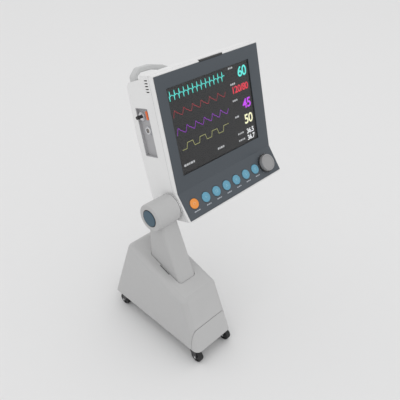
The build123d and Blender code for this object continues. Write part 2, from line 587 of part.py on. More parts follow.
with BuildPart() as connector_tray:
    block(LEFT.offset(-TRAY_GAP), recess_spot, tray_w, tray_l, TRAY_WALL, TRAY_GAP - RECESS_IN - TRAY_WALL)
    lap_w, lap_l = RECESS_W + 2 * TRAY_LAP, RECESS_L + 2 * TRAY_LAP
    block(LEFT.offset(-CASE_WALL), recess_spot, lap_w, lap_l, TRAY_WALL, -TRAY_LAP_T)
    inner_w, inner_l = tray_w - 2 * TRAY_WALL, tray_l - 2 * TRAY_WALL
    block(LEFT, recess_spot, inner_w, inner_l, TRAY_WALL / 2, -RECESS_IN, Mode.SUBTRACT)
    bars(LEFT, [coupling_spot], COUPLING_NECK_D / 2, -2 * RECESS_IN, Mode.SUBTRACT)
    bars(LEFT, [port_spot], PORT_D / 2, -2 * RECESS_IN, Mode.SUBTRACT)
    slot_w, slot_l = TAB_W + 2 * FIT_GAP, TAB_L + 2 * FIT_GAP
    block(LEFT, (-TAB_DEEP, TAB_UP), slot_w, slot_l, 1, -2 * RECESS_IN, Mode.SUBTRACT)
finish(connector_tray, "connector_tray")

RING_TOP = -RECESS_IN + COUPLING_RING_H
COLLAR_TOP = RING_TOP + COUPLING_COLLAR_H
with BuildPart() as hose_coupling:
    neck_foot = LEFT.offset(-RECESS_IN - TRAY_WALL - COUPLING_BEHIND)
    bars(neck_foot, [coupling_spot], COUPLING_NECK_D / 2, COUPLING_BEHIND + TRAY_WALL)
    bars(LEFT.offset(-RECESS_IN), [coupling_spot], COUPLING_D / 2, COUPLING_RING_H)
    bars(LEFT.offset(RING_TOP), [coupling_spot], COUPLING_COLLAR_D / 2, COUPLING_COLLAR_H)
    bars(LEFT.offset(COLLAR_TOP), [coupling_spot], NOZZLE_D / 2, -NOZZLE_SEAT, Mode.SUBTRACT)
finish(hose_coupling, "hose_coupling")

BARB_START = NOZZLE_OUT - TIP_L - BARB_L
with BuildPart() as hose_nozzle:
    nozzle_foot = LEFT.offset(COLLAR_TOP - NOZZLE_SEAT)
    bars(nozzle_foot, [coupling_spot], NOZZLE_D / 2, BARB_START - COLLAR_TOP + NOZZLE_SEAT)
    bars(LEFT.offset(BARB_START), [coupling_spot], BARB_D / 2, BARB_L)
    bars(LEFT.offset(BARB_START + BARB_L), [coupling_spot], NOZZLE_D / 2, TIP_L)
    barb_rim = edges().filter_by(GeomType.CIRCLE).filter_by(lambda e: abs(e.radius - BARB_D / 2) < 0.01)
    chamfer(barb_rim.sort_by(Axis.X)[0], (BARB_D - NOZZLE_D) / 2 - 0.1)
    bars(LEFT.offset(NOZZLE_OUT), [coupling_spot], NOZZLE_BORE / 2, -2 * NOZZLE_OUT, Mode.SUBTRACT)
finish(hose_nozzle, "hose_nozzle")

with BuildPart() as sensor_port:
    port_foot = LEFT.offset(-RECESS_IN - TRAY_WALL - PORT_BEHIND)
    bars(port_foot, [port_spot], PORT_D / 2, PORT_BEHIND + TRAY_WALL + PORT_PROUD)
    chamfer(edges().filter_by(GeomType.CIRCLE).sort_by(Axis.X)[0], PORT_CHAMFER)
    bars(LEFT.offset(PORT_PROUD - RECESS_IN), [port_spot], PORT_BORE / 2, -PORT_SOCKET, Mode.SUBTRACT)
finish(sensor_port, "sensor_port")

with BuildPart() as release_tab:
    tab_back = -RECESS_IN - TRAY_WALL - FIT_GAP
    block(LEFT.offset(TAB_PROUD), (-TAB_DEEP, TAB_UP), TAB_W, TAB_L, 1, tab_back - TAB_PROUD)
    flange_w, flange_l = TAB_W + TAB_FLANGE_X, TAB_L + TAB_FLANGE_Y
    block(LEFT.offset(tab_back), (-TAB_DEEP, TAB_UP), flange_w, flange_l, 1, -TAB_FLANGE_T)
    with BuildSketch(LEFT.offset(TAB_PROUD)):
        with Locations((-TAB_DEEP, TAB_UP)):
            with GridLocations(1, TAB_RIDGE_PITCH, 1, TAB_RIDGES):
                Rectangle(TAB_W + 1, 1)
    extrude(amount=-TAB_GROOVE, mode=Mode.SUBTRACT)
finish(release_tab, "release_tab")

# ---------------------------------------------------------------- top: alarm light and handle
LENS_PROUD = 0.6
with BuildPart() as alarm_lens:
    lens_spot = (ALARM_X, UPPER_LENGTH + CASE_RIM / 2 + FIT_GAP)
    block(SCREEN.offset(LENS_PROUD), lens_spot, ALARM_L, CASE_RIM, 1.5, -ALARM_DEEP)
finish(alarm_lens, "alarm_lens")

HANDLE_BACK, HANDLE_T = 35.0, 20.0  # grip's front face from the case's back
HANDLE_DEEP = CASE_DEPTH - HANDLE_BACK
HANDLE_SOFT, HANDLE_EDGE = 12.0, 2.5
ROOF = UPPER_LENGTH + CASE_RIM - TOP_STEP  # rear shell's roof where it starts
HANDLE_LEFT = -CASE_W / 2 + 5.0
# outer and inner line of the grip: across from its left end, up from the roof
grip_outer = [(0, -12), (0, 6), (20, 23), (62, 22), (100, 12), (144, -11), (144, -12)]
grip_inner = [(14, -11), (14, 3), (26, 10), (60, 9), (90, 1), (104, -11)]
with BuildPart() as carry_handle:
    with BuildSketch(SCREEN.offset(-HANDLE_DEEP)):
        with BuildLine():
            Polyline(*[(HANDLE_LEFT + across, ROOF + up) for across, up in grip_outer], close=True)
        make_face()
        fillet(vertices().sort_by(Axis.Y)[3:], HANDLE_SOFT)
        with BuildSketch(mode=Mode.SUBTRACT):
            with BuildLine():
                Polyline(*[(HANDLE_LEFT + across, ROOF + up) for across, up in grip_inner], close=True)
            make_face()
            fillet(vertices().sort_by(Axis.Y)[2:], HANDLE_SOFT / 2)
    extrude(amount=-HANDLE_T)
    # the feet follow the sloping roof of the rear shell
    with BuildSketch(MID):
        with BuildLine():
            Polyline(
                upper(ROOF, TOP_STEP_AT + STEP_RAMP),
                upper(UPPER_LENGTH + CASE_RIM - TOP_FALL, CASE_DEPTH - BACK_BEVEL),
                upper(UPPER_LENGTH - TOP_FALL - 3 * TOP_STEP, CASE_DEPTH),
                upper(UPPER_LENGTH - TOP_FALL - 3 * TOP_STEP, TOP_STEP_AT),
                close=True,
            )
        make_face()
    extrude(amount=CASE_W, both=True, mode=Mode.SUBTRACT)
    grip_edges = edges().filter_by(lambda e: SCREEN.to_local_coords(e.center()).Y > ROOF + 1)
    chamfer(grip_edges.filter_by(lambda e: abs((e @ 0).X - (e @ 1).X) > 1), HANDLE_EDGE)
finish(carry_handle, "carry_handle")

# ---------------------------------------------------------------- inside the monitor
BOARD_FACE = BRACKET_FACE + SHEET_T + STUD_L
# parts on the board: across, up, width, height, thickness
CPU_X, CPU_Y, CPU_SIDE, CPU_T = -70.0, 40.0, 30.0, 3.0
chips = [(CPU_X, CPU_Y, CPU_SIDE, CPU_SIDE, CPU_T), (-20, -35, 24, 18, 2.5), (25, -30, 16, 16, 2)]
chips += [(70, 45, 40, 12, 9), (70, -50, 26, 14, 12), (-75, -50, 34, 10, 8)]
with BuildPart() as main_board:
    block(SCREEN.offset(-BOARD_FACE), (BOARD_X, BOARD_UP), BOARD_W, BOARD_H, 3, -BOARD_T)
    for across, up, wide, high, thick in chips:
        spot = (BOARD_X + across, BOARD_UP + up)
        block(SCREEN.offset(-BOARD_FACE - BOARD_T), spot, wide, high, 0.5, -thick)
finish(main_board, "main_board")

SINK_SIDE, SINK_H, SINK_FOOT, FINS = 42.0, 16.0, 3.0, 8
with BuildPart() as heat_sink:
    sink_plane = SCREEN.offset(-BOARD_FACE - BOARD_T - CPU_T)
    with BuildSketch(sink_plane):
        with Locations((BOARD_X + CPU_X, BOARD_UP + CPU_Y)):
            Rectangle(SINK_SIDE, SINK_SIDE)
    extrude(amount=-SINK_H)
    with BuildSketch(sink_plane.offset(-SINK_H)):
        with Locations((BOARD_X + CPU_X, BOARD_UP + CPU_Y)):
            with GridLocations(SINK_SIDE / FINS, 1, FINS - 1, 1):
                Rectangle(SINK_SIDE / FINS * 0.6, SINK_SIDE + 2)
    extrude(amount=SINK_H - SINK_FOOT, mode=Mode.SUBTRACT)
finish(heat_sink, "heat_sink")

POWER_UNIT_W, POWER_UNIT_H, POWER_UNIT_T, POWER_UNIT_FACE = 116.0, 58.0, 34.0, 48.0
INLET_FACE = CASE_DEPTH + 2.0
with BuildPart() as power_unit:
    unit_spot = (INLET_X - 30, INLET_UP + 4)
    block(SCREEN.offset(-POWER_UNIT_FACE), unit_spot, POWER_UNIT_W, POWER_UNIT_H, 2, -POWER_UNIT_T)
finish(power_unit, "power_unit")

with BuildPart() as power_socket:
    inlet_plane = SCREEN.offset(-INLET_FACE)
    socket_l = INLET_FACE - POWER_UNIT_FACE - POWER_UNIT_T
    bars(inlet_plane, [(INLET_X, INLET_UP)], INLET_D / 2, socket_l)
    bars(inlet_plane, [(INLET_X, INLET_UP)], INLET_BORE / 2, INLET_SOCKET, Mode.SUBTRACT)
finish(power_socket, "power_socket")

DOOR_FACE = CASE_DEPTH + CASE_WALL / 2
with BuildPart() as battery_door:
    door_plane = SCREEN.offset(-DOOR_FACE)
    battery_spot = (BATTERY_X, BATTERY_UP)
    block(door_plane, battery_spot, BATTERY_W + DOOR_LAP, BATTERY_H + DOOR_LAP, DOOR_ROUND, CASE_WALL)
    with BuildSketch(door_plane):
        with Locations((BATTERY_X, BATTERY_UP + BATTERY_H / 2 - DOOR_LAP)):
            SlotOverall(44, 7)
    extrude(amount=CASE_WALL / 2, mode=Mode.SUBTRACT)
finish(battery_door, "battery_door")

with BuildPart() as battery_pack:
    block(SCREEN.offset(CASE_WALL - DOOR_FACE), battery_spot, BATTERY_W, BATTERY_H, 3, BATTERY_T)
finish(battery_pack, "battery_pack")

SPEAKER_RIM_T = 4.0
with BuildPart() as speaker:
    speaker_spot = (SPEAKER_X, SPEAKER_UP)
    bars(SCREEN.offset(-SPEAKER_FACE), [speaker_spot], SPEAKER_D / 2, SPEAKER_RIM_T)
    magnet_plane = SCREEN.offset(SPEAKER_RIM_T - SPEAKER_FACE)
    bars(magnet_plane, [speaker_spot], SPEAKER_D / 4, SPEAKER_T - SPEAKER_RIM_T)
finish(speaker, "speaker")

with BuildPart() as rear_inserts:
    with BuildSketch(SCREEN.offset(-INSERT_FACE)):
        with Locations((0, VESA_UP)):
            with GridLocations(VESA_PITCH, VESA_PITCH, 2, 2):
                Circle(INSERT_D / 2)
                Circle(INSERT_BORE / 2, mode=Mode.SUBTRACT)
    extrude(amount=INSERT_L)
finish(rear_inserts, "rear_inserts")

# ---------------------------------------------------------------- pivot, monitor side
BRACKET_X = CASE_LEFT + CASE_WALL
LIP_CLEAR = CASE_LIP + FIT_GAP
STRIP_LOW, STRIP_TOP, STRIP_W = -12.0, 120.0, 26.0
FOOT_W, FOOT_LOW, FOOT_TOP = 28.0, 33.0, 117.0
BOLT_IN, BOLT_D, BOLT_HEAD_D, BOLT_HEAD_T, BOLT_COUNT = 7.0, 5.0, 8.4, 4.0, 4
BOLT_R = FLANGE_D / 2 - BOLT_IN
FAR = 3 * PANEL_LENGTH
with BuildPart() as side_bracket:
    with BuildSketch(Plane.YZ.offset(BRACKET_X)):
        with BuildLine():
            Polyline(
                upper(STRIP_LOW, LIP_CLEAR),
                upper(STRIP_TOP, LIP_CLEAR),
                upper(STRIP_TOP, LIP_CLEAR + STRIP_W),
                upper(STRIP_LOW, LIP_CLEAR + STRIP_W),
                close=True,
            )
        make_face()
        with Locations((PIVOT_Y, PIVOT_H)):
            Circle(FLANGE_D / 2 + BRACKET_T)
        with BuildLine():
            Polyline(
                upper(FAR, LIP_CLEAR), kink(LIP_CLEAR), lower(-FAR, LIP_CLEAR),
                lower(-FAR, -FAR), upper(FAR, -FAR), close=True,
            )
        make_face(mode=Mode.SUBTRACT)
        with Locations((PIVOT_Y, PIVOT_H)):
            Circle(SHAFT_D / 2, mode=Mode.SUBTRACT)
            with PolarLocations(BOLT_R, BOLT_COUNT):
                Circle(BOLT_D / 2, mode=Mode.SUBTRACT)
    extrude(amount=BRACKET_T)
    # inward foot that carries the display bracket, clear of its lower left screw
    with BuildSketch(SCREEN.offset(-BRACKET_FACE - SHEET_T)):
        with Locations((BRACKET_LEFT + FOOT_W / 2, (FOOT_LOW + FOOT_TOP) / 2)):
            Rectangle(FOOT_W, FOOT_TOP - FOOT_LOW)
        with Locations((SCREEN_SHIFT, SCREEN_UP)):
            with GridLocations(2 * BOSS_X, 2 * BOSS_Y, 2, 2):
                Circle(SCREW_BOSS_D / 2, mode=Mode.SUBTRACT)
    extrude(amount=-BRACKET_T)
finish(side_bracket, "side_bracket")

CAP_BACK = -DRUM_LEFT - CAP_PROUD + CAP_T
DRUM_WALL = 4.0
SHAFT_LEFT = DRUM_WALL + SIDE_GAP - DRUM_LEFT  # shaft end from the pedestal's middle
SHAFT_RIGHT = BRACKET_X + BRACKET_T - PED_X
NUT_RIM, NUT_T = 6.0, 7.0
BLOCK_LEFT = SHAFT_LEFT + NUT_T + SIDE_GAP
BLOCK_RIGHT = DRUM_RIGHT - DRUM_WALL
with BuildPart() as pivot_shaft:
    bars(PIVOT.offset(SHAFT_LEFT), [(0, 0)], SHAFT_D / 2, SHAFT_RIGHT - SHAFT_LEFT)
    with BuildSketch(PIVOT.offset(SHAFT_RIGHT)):
        Circle(FLANGE_D / 2)
        with PolarLocations(BOLT_R, BOLT_COUNT):
            Circle(BOLT_D / 2, mode=Mode.SUBTRACT)
    extrude(amount=FLANGE_T)
finish(pivot_shaft, "pivot_shaft")

with BuildPart() as flange_bolts:
    head_plane = PIVOT.offset(SHAFT_RIGHT + FLANGE_T)
    with BuildSketch(head_plane):
        with PolarLocations(BOLT_R, BOLT_COUNT):
            Circle(BOLT_D / 2)
    extrude(amount=-FLANGE_T - BRACKET_T)
    with BuildSketch(head_plane):
        with PolarLocations(BOLT_R, BOLT_COUNT):
            Circle(BOLT_HEAD_D / 2)
    extrude(amount=BOLT_HEAD_T)
    with BuildSketch(head_plane.offset(BOLT_HEAD_T)):
        with PolarLocations(BOLT_R, BOLT_COUNT):
            RegularPolygon(BOLT_D / 2, 6)
    extrude(amount=-BOLT_HEAD_T / 2, mode=Mode.SUBTRACT)
finish(flange_bolts, "flange_bolts")

with BuildPart() as pivot_hub:
    bars(PIVOT.offset(HUB_FACE), [(0, 0)], HUB_D / 2, HUB_L)
    fillet(edges().filter_by(GeomType.CIRCLE).sort_by(Axis.X)[0], 1)
    bars(PIVOT.offset(HUB_FACE), [(0, 0)], SHAFT_D / 2, HUB_L, Mode.SUBTRACT)
finish(pivot_hub, "pivot_hub")

with BuildPart() as friction_washer:
    bars(PIVOT.offset(DRUM_RIGHT + SIDE_GAP), [(0, 0)], WASHER_D / 2, WASHER_T)
    bars(PIVOT.offset(DRUM_RIGHT), [(0, 0)], SHAFT_D / 2, 2 * WASHER_T, Mode.SUBTRACT)
finish(friction_washer, "friction_washer")

with BuildPart() as pivot_nut:
    with BuildSketch(PIVOT.offset(SHAFT_LEFT)):
        RegularPolygon(SHAFT_D / 2 + NUT_RIM, 6, major_radius=False)
        Circle(SHAFT_D / 2, mode=Mode.SUBTRACT)
    extrude(amount=NUT_T)
finish(pivot_nut, "pivot_nut")

# ---------------------------------------------------------------- neck and mast
NECK_TOP_Z = PIVOT_H - DRUM_D / 2 - 1.0
NECK_IN, NECK_BELOW = 22.0, 10.0  # the column runs on into the drum and into the base
NECK_TOP_X, NECK_TOP_Y = DRUM_RIGHT - NECK_TOP_W / 2, 12.0
NECK_FOOT_Y = -18.0
NECK_ROUND = 9.0
CAP_LEDGE = 2.0
BLOCK_LOW = PIVOT_H - 28.0
MAST_X, MAST_Y = PED_X + NECK_TOP_X, PIVOT_Y


def neck_column(grow, low, high):
    """Tapered column between two heights, every face moved out by grow."""
    with BuildPart() as column:
        for z in (low, high):
            way = (z - NECK_FOOT_H) / (NECK_TOP_Z - NECK_FOOT_H)
            wide = NECK_FOOT_W + (NECK_TOP_W - NECK_FOOT_W) * way + 2 * grow
            long = NECK_FOOT_D + (NECK_TOP_D - NECK_FOOT_D) * way + 2 * grow
            spot = (NECK_TOP_X * way, NECK_FOOT_Y + (NECK_TOP_Y - NECK_FOOT_Y) * way)
            with BuildSketch(PED.offset(z)):
                with Locations(spot):
                    RectangleRounded(wide, long, NECK_ROUND + grow)
        loft(ruled=True)
    return column.part


with BuildPart() as neck_shell:
    bars(PIVOT.offset(-DRUM_LEFT), [(0, 0)], DRUM_D / 2, DRUM_LEFT + DRUM_RIGHT)
    fillet(edges().filter_by(GeomType.CIRCLE).sort_by(Axis.X)[0], DRUM_WALL - 0.5)
    add(neck_column(0, NECK_FOOT_H - NECK_BELOW, NECK_TOP_Z + NECK_IN))
    add(neck_column(-NECK_WALL, NECK_FOOT_H - NECK_BELOW, NECK_TOP_Z + NECK_IN), mode=Mode.SUBTRACT)
    drum_hollow = DRUM_LEFT + DRUM_RIGHT - 2 * DRUM_WALL
    bars(PIVOT.offset(DRUM_WALL - DRUM_LEFT), [(0, 0)], DRUM_D / 2 - DRUM_WALL, drum_hollow, Mode.SUBTRACT)
    bars(PIVOT.offset(-DRUM_LEFT), [(0, 0)], CAP_D / 2, CAP_BACK + DRUM_LEFT, Mode.SUBTRACT)
    bars(PIVOT.offset(-DRUM_LEFT), [(0, 0)], CAP_D / 2 - CAP_LEDGE, 2 * DRUM_WALL, Mode.SUBTRACT)
    bars(PIVOT.offset(DRUM_RIGHT), [(0, 0)], SHAFT_D / 2 + 1.5, -2 * DRUM_WALL, Mode.SUBTRACT)
finish(neck_shell, "neck_shell")

with BuildPart() as pivot_cap:
    bars(PIVOT.offset(-DRUM_LEFT - CAP_PROUD), [(0, 0)], CAP_D / 2, CAP_T)
    fillet(edges().filter_by(GeomType.CIRCLE).sort_by(Axis.X)[0], 1.2)
finish(pivot_cap, "pivot_cap")

with BuildPart() as pivot_block:
    bars(PIVOT.offset(BLOCK_LEFT), [(0, 0)], DRUM_D / 2 - DRUM_WALL, BLOCK_RIGHT - BLOCK_LEFT)
    bars(PIVOT.offset(BLOCK_LEFT), [(0, 0)], SHAFT_D / 2 + BUSH_T, BLOCK_RIGHT - BLOCK_LEFT, Mode.SUBTRACT)
    split(bisect_by=Plane.XY.offset(BLOCK_LOW), keep=Keep.TOP)
finish(pivot_block, "pivot_block")

with BuildPart() as pivot_bushes:
    for start in (BLOCK_LEFT, BLOCK_RIGHT - BUSH_L):
        with BuildSketch(PIVOT.offset(start)):
            Circle(SHAFT_D / 2 + BUSH_T)
            Circle(SHAFT_D / 2 + RUN_GAP, mode=Mode.SUBTRACT)
        extrude(amount=BUSH_L)
finish(pivot_bushes, "pivot_bushes")

PLATE_Z = BASE_CLEAR + 1.0
MAST_LOW = PLATE_Z + PLATE_T
with BuildPart() as mast_tube:
    with BuildSketch(Plane(origin=(MAST_X, MAST_Y, MAST_LOW))):
        RectangleRounded(MAST_W, MAST_D, MAST_WALL + 1)
        RectangleRounded(MAST_W - 2 * MAST_WALL, MAST_D - 2 * MAST_WALL, 1, mode=Mode.SUBTRACT)
    extrude(amount=BLOCK_LOW - MAST_LOW)
finish(mast_tube, "mast_tube")

# ---------------------------------------------------------------- base cover
FRONT_SLOPE = FRONT_RUN / (FRONT_H - BASE_CLEAR)
REAR_SLOPE = REAR_RUN / (REAR_H - BASE_CLEAR)
TOP_LENGTH = BASE_LENGTH - FRONT_RUN - REAR_RUN
TOP_SLOPE = (REAR_H - FRONT_H) / TOP_LENGTH


def cover_top(y):
    """Height of the cover's top face at a place along the pedestal."""
    return FRONT_H + TOP_SLOPE * (y + BASE_LENGTH / 2 - FRONT_RUN)


def cover_body(wall):
    """The base's outer shape, or its hollow when moved in by a wall and left open below."""
    low = BASE_CLEAR - 3 * wall
    drop = BASE_CLEAR - low
    half = BASE_LENGTH / 2
    narrow = SIDE_DRAFT / (REAR_H - BASE_CLEAR)
    foot_half, top_half = BASE_WIDTH / 2 - wall + drop * narrow, BASE_WIDTH / 2 - wall - SIDE_DRAFT
    with BuildPart() as body:
        with BuildSketch(PED_SIDE):
            with BuildLine():
                Polyline(
                    (-half - drop * FRONT_SLOPE, low), (-half + FRONT_RUN, FRONT_H),
                    (half - REAR_RUN, REAR_H), (half + drop * REAR_SLOPE, low), close=True,
                )
            make_face()
            if wall:
                offset(amount=-wall, kind=Kind.INTERSECTION)
        extrude(amount=BASE_WIDTH, both=True)
        with BuildSketch(Plane(origin=(PED_X, PED_Y, 0), x_dir=(1, 0, 0), z_dir=(0, -1, 0))):
            with BuildLine():
                Polyline(
                    (-foot_half, low), (-top_half, REAR_H), (top_half, REAR_H), (foot_half, low), close=True
                )
            make_face()
        extrude(amount=BASE_LENGTH, both=True, mode=Mode.INTERSECT)
        rims = edges().filter_by(lambda e: e.center().Z > BASE_CLEAR + 2 * BASE_WALL)
        fillet(rims, CORNER_ROUND - wall)
    return body.part


SLOT_X, SLOT_Y, SLOT_T = -33.0, -21.0, 1.5
slot_plane = Plane(
    origin=(PED_X + SLOT_X, PED_Y + SLOT_Y, cover_top(SLOT_Y)), x_dir=(1, 0, 0), z_dir=(0, -TOP_SLOPE, 1)
)
SEAM_Z = BASE_CLEAR + DOOR_H
SEAM_Y = -BASE_LENGTH / 2 + DOOR_DEPTH
with BuildPart() as cover_shell:
    add(cover_body(0))
    add(cover_body(BASE_WALL), mode=Mode.SUBTRACT)
    add(neck_column(NECK_GAP, NECK_FOOT_H - 3 * NECK_BELOW, NECK_TOP_Z), mode=Mode.SUBTRACT)
    block(slot_plane, (0, 0), SLOT_W, SLOT_L, 1, -SLOT_T, Mode.SUBTRACT)

with BuildPart() as slot_trim:
    block(slot_plane, (0, 0), SLOT_W, SLOT_L, 1, -SLOT_T)
finish(slot_trim, "slot_trim")


def seam_box(grow):
    """Block that takes in the front service panel."""
    with BuildPart() as box:
        with BuildSketch(PED_SIDE):
            with Locations((SEAM_Y + grow, SEAM_Z + grow)):
                Rectangle(BASE_LENGTH, BASE_LENGTH, align=(Align.MAX, Align.MAX))
        extrude(amount=BASE_WIDTH, both=True)
    return box.part


with BuildPart() as service_panel:
    add(cover_shell.part)
    add(seam_box(0), mode=Mode.INTERSECT)
finish(service_panel, "service_panel")

with BuildPart() as base_cover:
    add(cover_shell.part)
    add(seam_box(SEAM), mode=Mode.SUBTRACT)
finish(base_cover, "base_cover")

# ---------------------------------------------------------------- base plate, ballast, casters
PLATE_IN, PLATE_ROUND = 7.0, 16.0
SOCKET_D, THRUST_D = 15.0, 18.0
SOCKET_TOP = PLATE_Z + 24.0
FRONT_SWIVEL_Y = -BASE_LENGTH / 2 + FRONT_CASTER_IN
REAR_SWIVEL_Y = BASE_LENGTH / 2 - REAR_CASTER_IN
swivels = [(side * TRACK_HALF, y) for y in (FRONT_SWIVEL_Y, REAR_SWIVEL_Y) for side in (-1, 1)]
with BuildPart() as base_plate:
    block(PED.offset(PLATE_Z), (0, 0), BASE_WIDTH - 8, BASE_LENGTH - 2 * PLATE_IN, PLATE_ROUND, PLATE_T)
    bars(PED.offset(PLATE_Z), swivels, SOCKET_D / 2, PLATE_T, Mode.SUBTRACT)
finish(base_plate, "base_plate")

IRON_GAP, IRON_W, IRON_TOP = 8.5, BASE_WIDTH - 16.0, 135.0  # gap to the caster sockets
IRON_FRONT = FRONT_SWIVEL_Y + SOCKET_D / 2 + IRON_GAP
IRON_REAR = REAR_SWIVEL_Y - SOCKET_D / 2 - IRON_GAP
UPPER_IRON_W, UPPER_IRON_TOP = BASE_WIDTH - 26.0, 180.0
UPPER_IRON_FRONT, UPPER_IRON_REAR = IRON_FRONT + 43.0, IRON_REAR - 30.0
MAST_CLEAR = 1.0
with BuildPart() as ballast:
    lower_spot = (0, (IRON_FRONT + IRON_REAR) / 2)
    block(PED.offset(MAST_LOW), lower_spot, IRON_W, IRON_REAR - IRON_FRONT, PLATE_ROUND, IRON_TOP - MAST_LOW)
    upper_spot = (0, (UPPER_IRON_FRONT + UPPER_IRON_REAR) / 2)
    upper_long = UPPER_IRON_REAR - UPPER_IRON_FRONT
    block(PED.offset(IRON_TOP), upper_spot, UPPER_IRON_W, upper_long, PLATE_ROUND, UPPER_IRON_TOP - IRON_TOP)
    mast_hole = (MAST_W + 2 * MAST_CLEAR, MAST_D + 2 * MAST_CLEAR)
    block(Plane(origin=(MAST_X, MAST_Y, MAST_LOW)), (0, 0), *mast_hole, MAST_WALL, IRON_TOP, Mode.SUBTRACT)
finish(ballast, "ballast")

with BuildPart() as caster_sockets:
    bars(PED.offset(PLATE_Z), swivels, SOCKET_D / 2, SOCKET_TOP - PLATE_Z)
    bars(PED.offset(CROWN_TOP + SIDE_GAP), swivels, THRUST_D / 2, PLATE_Z - CROWN_TOP - SIDE_GAP)
    bars(PED.offset(BASE_CLEAR / 2), swivels, STEM_D / 2 + RUN_GAP, SOCKET_TOP, Mode.SUBTRACT)
finish(caster_sockets, "caster_sockets")

CHEEK_IN = WHEEL_W / 2 + CHEEK_GAP
CHEEK_R = 6.5
CROWN_LEAD, CROWN_ROUND = 10.0, 6.0
AXLE_PROUD = 0.8


def make_caster(tag, x, y, way):
    """One swivel caster: fork with stem and riveted axle, then its wheel; way is where it trails."""
    axis = Plane(origin=(PED_X + x, PED_Y + y, 0))
    side = Plane(origin=(PED_X + x, PED_Y + y, WHEEL_D / 2), x_dir=(0, 1, 0), z_dir=(1, 0, 0))
    hub = (way * TRAIL, 0)
    crown_long = CROWN_LEAD + TRAIL + CHEEK_R
    crown_spot = (0, way * (crown_long / 2 - CROWN_LEAD))
    cheek_top = CROWN_TOP - CROWN_T - WHEEL_D / 2
    with BuildPart() as fork:
        bars(axis.offset(CROWN_TOP), [(0, 0)], STEM_D / 2, SOCKET_TOP - CROWN_TOP - 1)
        crown_plane = axis.offset(CROWN_TOP - CROWN_T)
        block(crown_plane, crown_spot, 2 * (CHEEK_IN + CHEEK_T), crown_long, CROWN_ROUND, CROWN_T)
        for start in (CHEEK_IN, -CHEEK_IN - CHEEK_T):
            with BuildSketch(side.offset(start)):
                with BuildLine():
                    Polyline(
                        (hub[0] - way * CHEEK_R, 0), (-way * CHEEK_R, cheek_top),
                        (hub[0] + way * CHEEK_R / 2, cheek_top), (hub[0] + way * CHEEK_R, 0), close=True,
                    )
                make_face()
                with Locations(hub):
                    Circle(CHEEK_R)
            extrude(amount=CHEEK_T)
        axle_half = CHEEK_IN + CHEEK_T + AXLE_PROUD
        bars(side.offset(-axle_half), [hub], AXLE_D / 2, 2 * axle_half)
    finish(fork, "caster_fork_" + tag)
    with BuildPart() as wheel:
        bars(side.offset(-WHEEL_W / 2), [hub], WHEEL_D / 2, WHEEL_W)
        fillet(edges().filter_by(GeomType.CIRCLE), 2.5)
        for face in (WHEEL_W / 2, -WHEEL_W / 2):
            with BuildSketch(side.offset(face)):
                with Locations(hub):
                    Circle(WHEEL_D / 2 - TYRE_T)
                    Circle(AXLE_D, mode=Mode.SUBTRACT)
            extrude(amount=-3 if face > 0 else 3, mode=Mode.SUBTRACT)
        bars(side.offset(-WHEEL_W / 2), [hub], AXLE_D / 2 + RUN_GAP, WHEEL_W, Mode.SUBTRACT)
    finish(wheel, "wheel_" + tag)


for tag, x, y, way in (
    ("fl", -TRACK_HALF, FRONT_SWIVEL_Y, -1),
    ("fr", TRACK_HALF, FRONT_SWIVEL_Y, -1),
    ("rl", -TRACK_HALF, REAR_SWIVEL_Y, 1),
    ("rr", TRACK_HALF, REAR_SWIVEL_Y, 1),
):
    make_caster(tag, x, y, way)
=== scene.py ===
import json
from math import cos, pi, radians, sin

import bmesh
import bpy
from mathutils import Matrix, Vector


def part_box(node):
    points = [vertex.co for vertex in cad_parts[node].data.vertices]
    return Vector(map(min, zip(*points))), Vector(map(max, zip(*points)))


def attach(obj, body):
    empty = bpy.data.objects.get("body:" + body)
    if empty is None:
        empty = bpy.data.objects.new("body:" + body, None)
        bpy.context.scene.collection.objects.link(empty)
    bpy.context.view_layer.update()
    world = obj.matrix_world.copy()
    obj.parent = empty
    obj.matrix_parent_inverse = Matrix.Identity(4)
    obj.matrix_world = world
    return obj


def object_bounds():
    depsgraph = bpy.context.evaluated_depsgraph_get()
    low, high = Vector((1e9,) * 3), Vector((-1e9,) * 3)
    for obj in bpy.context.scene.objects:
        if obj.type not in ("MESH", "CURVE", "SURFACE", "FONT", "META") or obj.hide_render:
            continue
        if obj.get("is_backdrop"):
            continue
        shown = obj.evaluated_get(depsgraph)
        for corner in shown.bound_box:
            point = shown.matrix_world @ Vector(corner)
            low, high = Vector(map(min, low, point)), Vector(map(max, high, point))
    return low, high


# Patient monitor on a wheeled pedestal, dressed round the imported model. Metres, +X right, +Y back, +Z up.
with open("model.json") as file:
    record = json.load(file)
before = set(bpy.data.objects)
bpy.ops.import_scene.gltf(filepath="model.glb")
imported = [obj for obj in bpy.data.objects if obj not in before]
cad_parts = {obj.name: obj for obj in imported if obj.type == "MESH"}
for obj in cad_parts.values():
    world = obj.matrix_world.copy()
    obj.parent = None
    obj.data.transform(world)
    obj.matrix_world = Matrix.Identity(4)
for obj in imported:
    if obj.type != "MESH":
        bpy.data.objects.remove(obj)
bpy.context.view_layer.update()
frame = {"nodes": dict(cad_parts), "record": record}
MM = 0.001

# ---------------------------------------------------------------- places, read from the frame
UPPER_LEAN, LOWER_LEAN = radians(14.0), radians(38.0)  # screen and control panel lean back
bezel_low, bezel_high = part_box("screen_bezel")
panel_low, panel_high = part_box("control_panel")
case_low, case_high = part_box("rear_case")
KINK = Vector(((bezel_low[0] + bezel_high[0]) / 2, bezel_low[1], panel_high[2]))
X_DIR = Vector((1, 0, 0))


def face_frame(origin, lean):
    """Matrix of a leaning face: x across, y up the face, z out of it."""
    up = Vector((0, sin(lean), cos(lean)))
    out = Vector((0, -cos(lean), sin(lean)))
    rows = Matrix((X_DIR, up, out)).transposed().to_4x4()
    return Matrix.Translation(origin) @ rows


SCREEN = face_frame(KINK, UPPER_LEAN)
PANEL = face_frame(KINK, LOWER_LEAN)
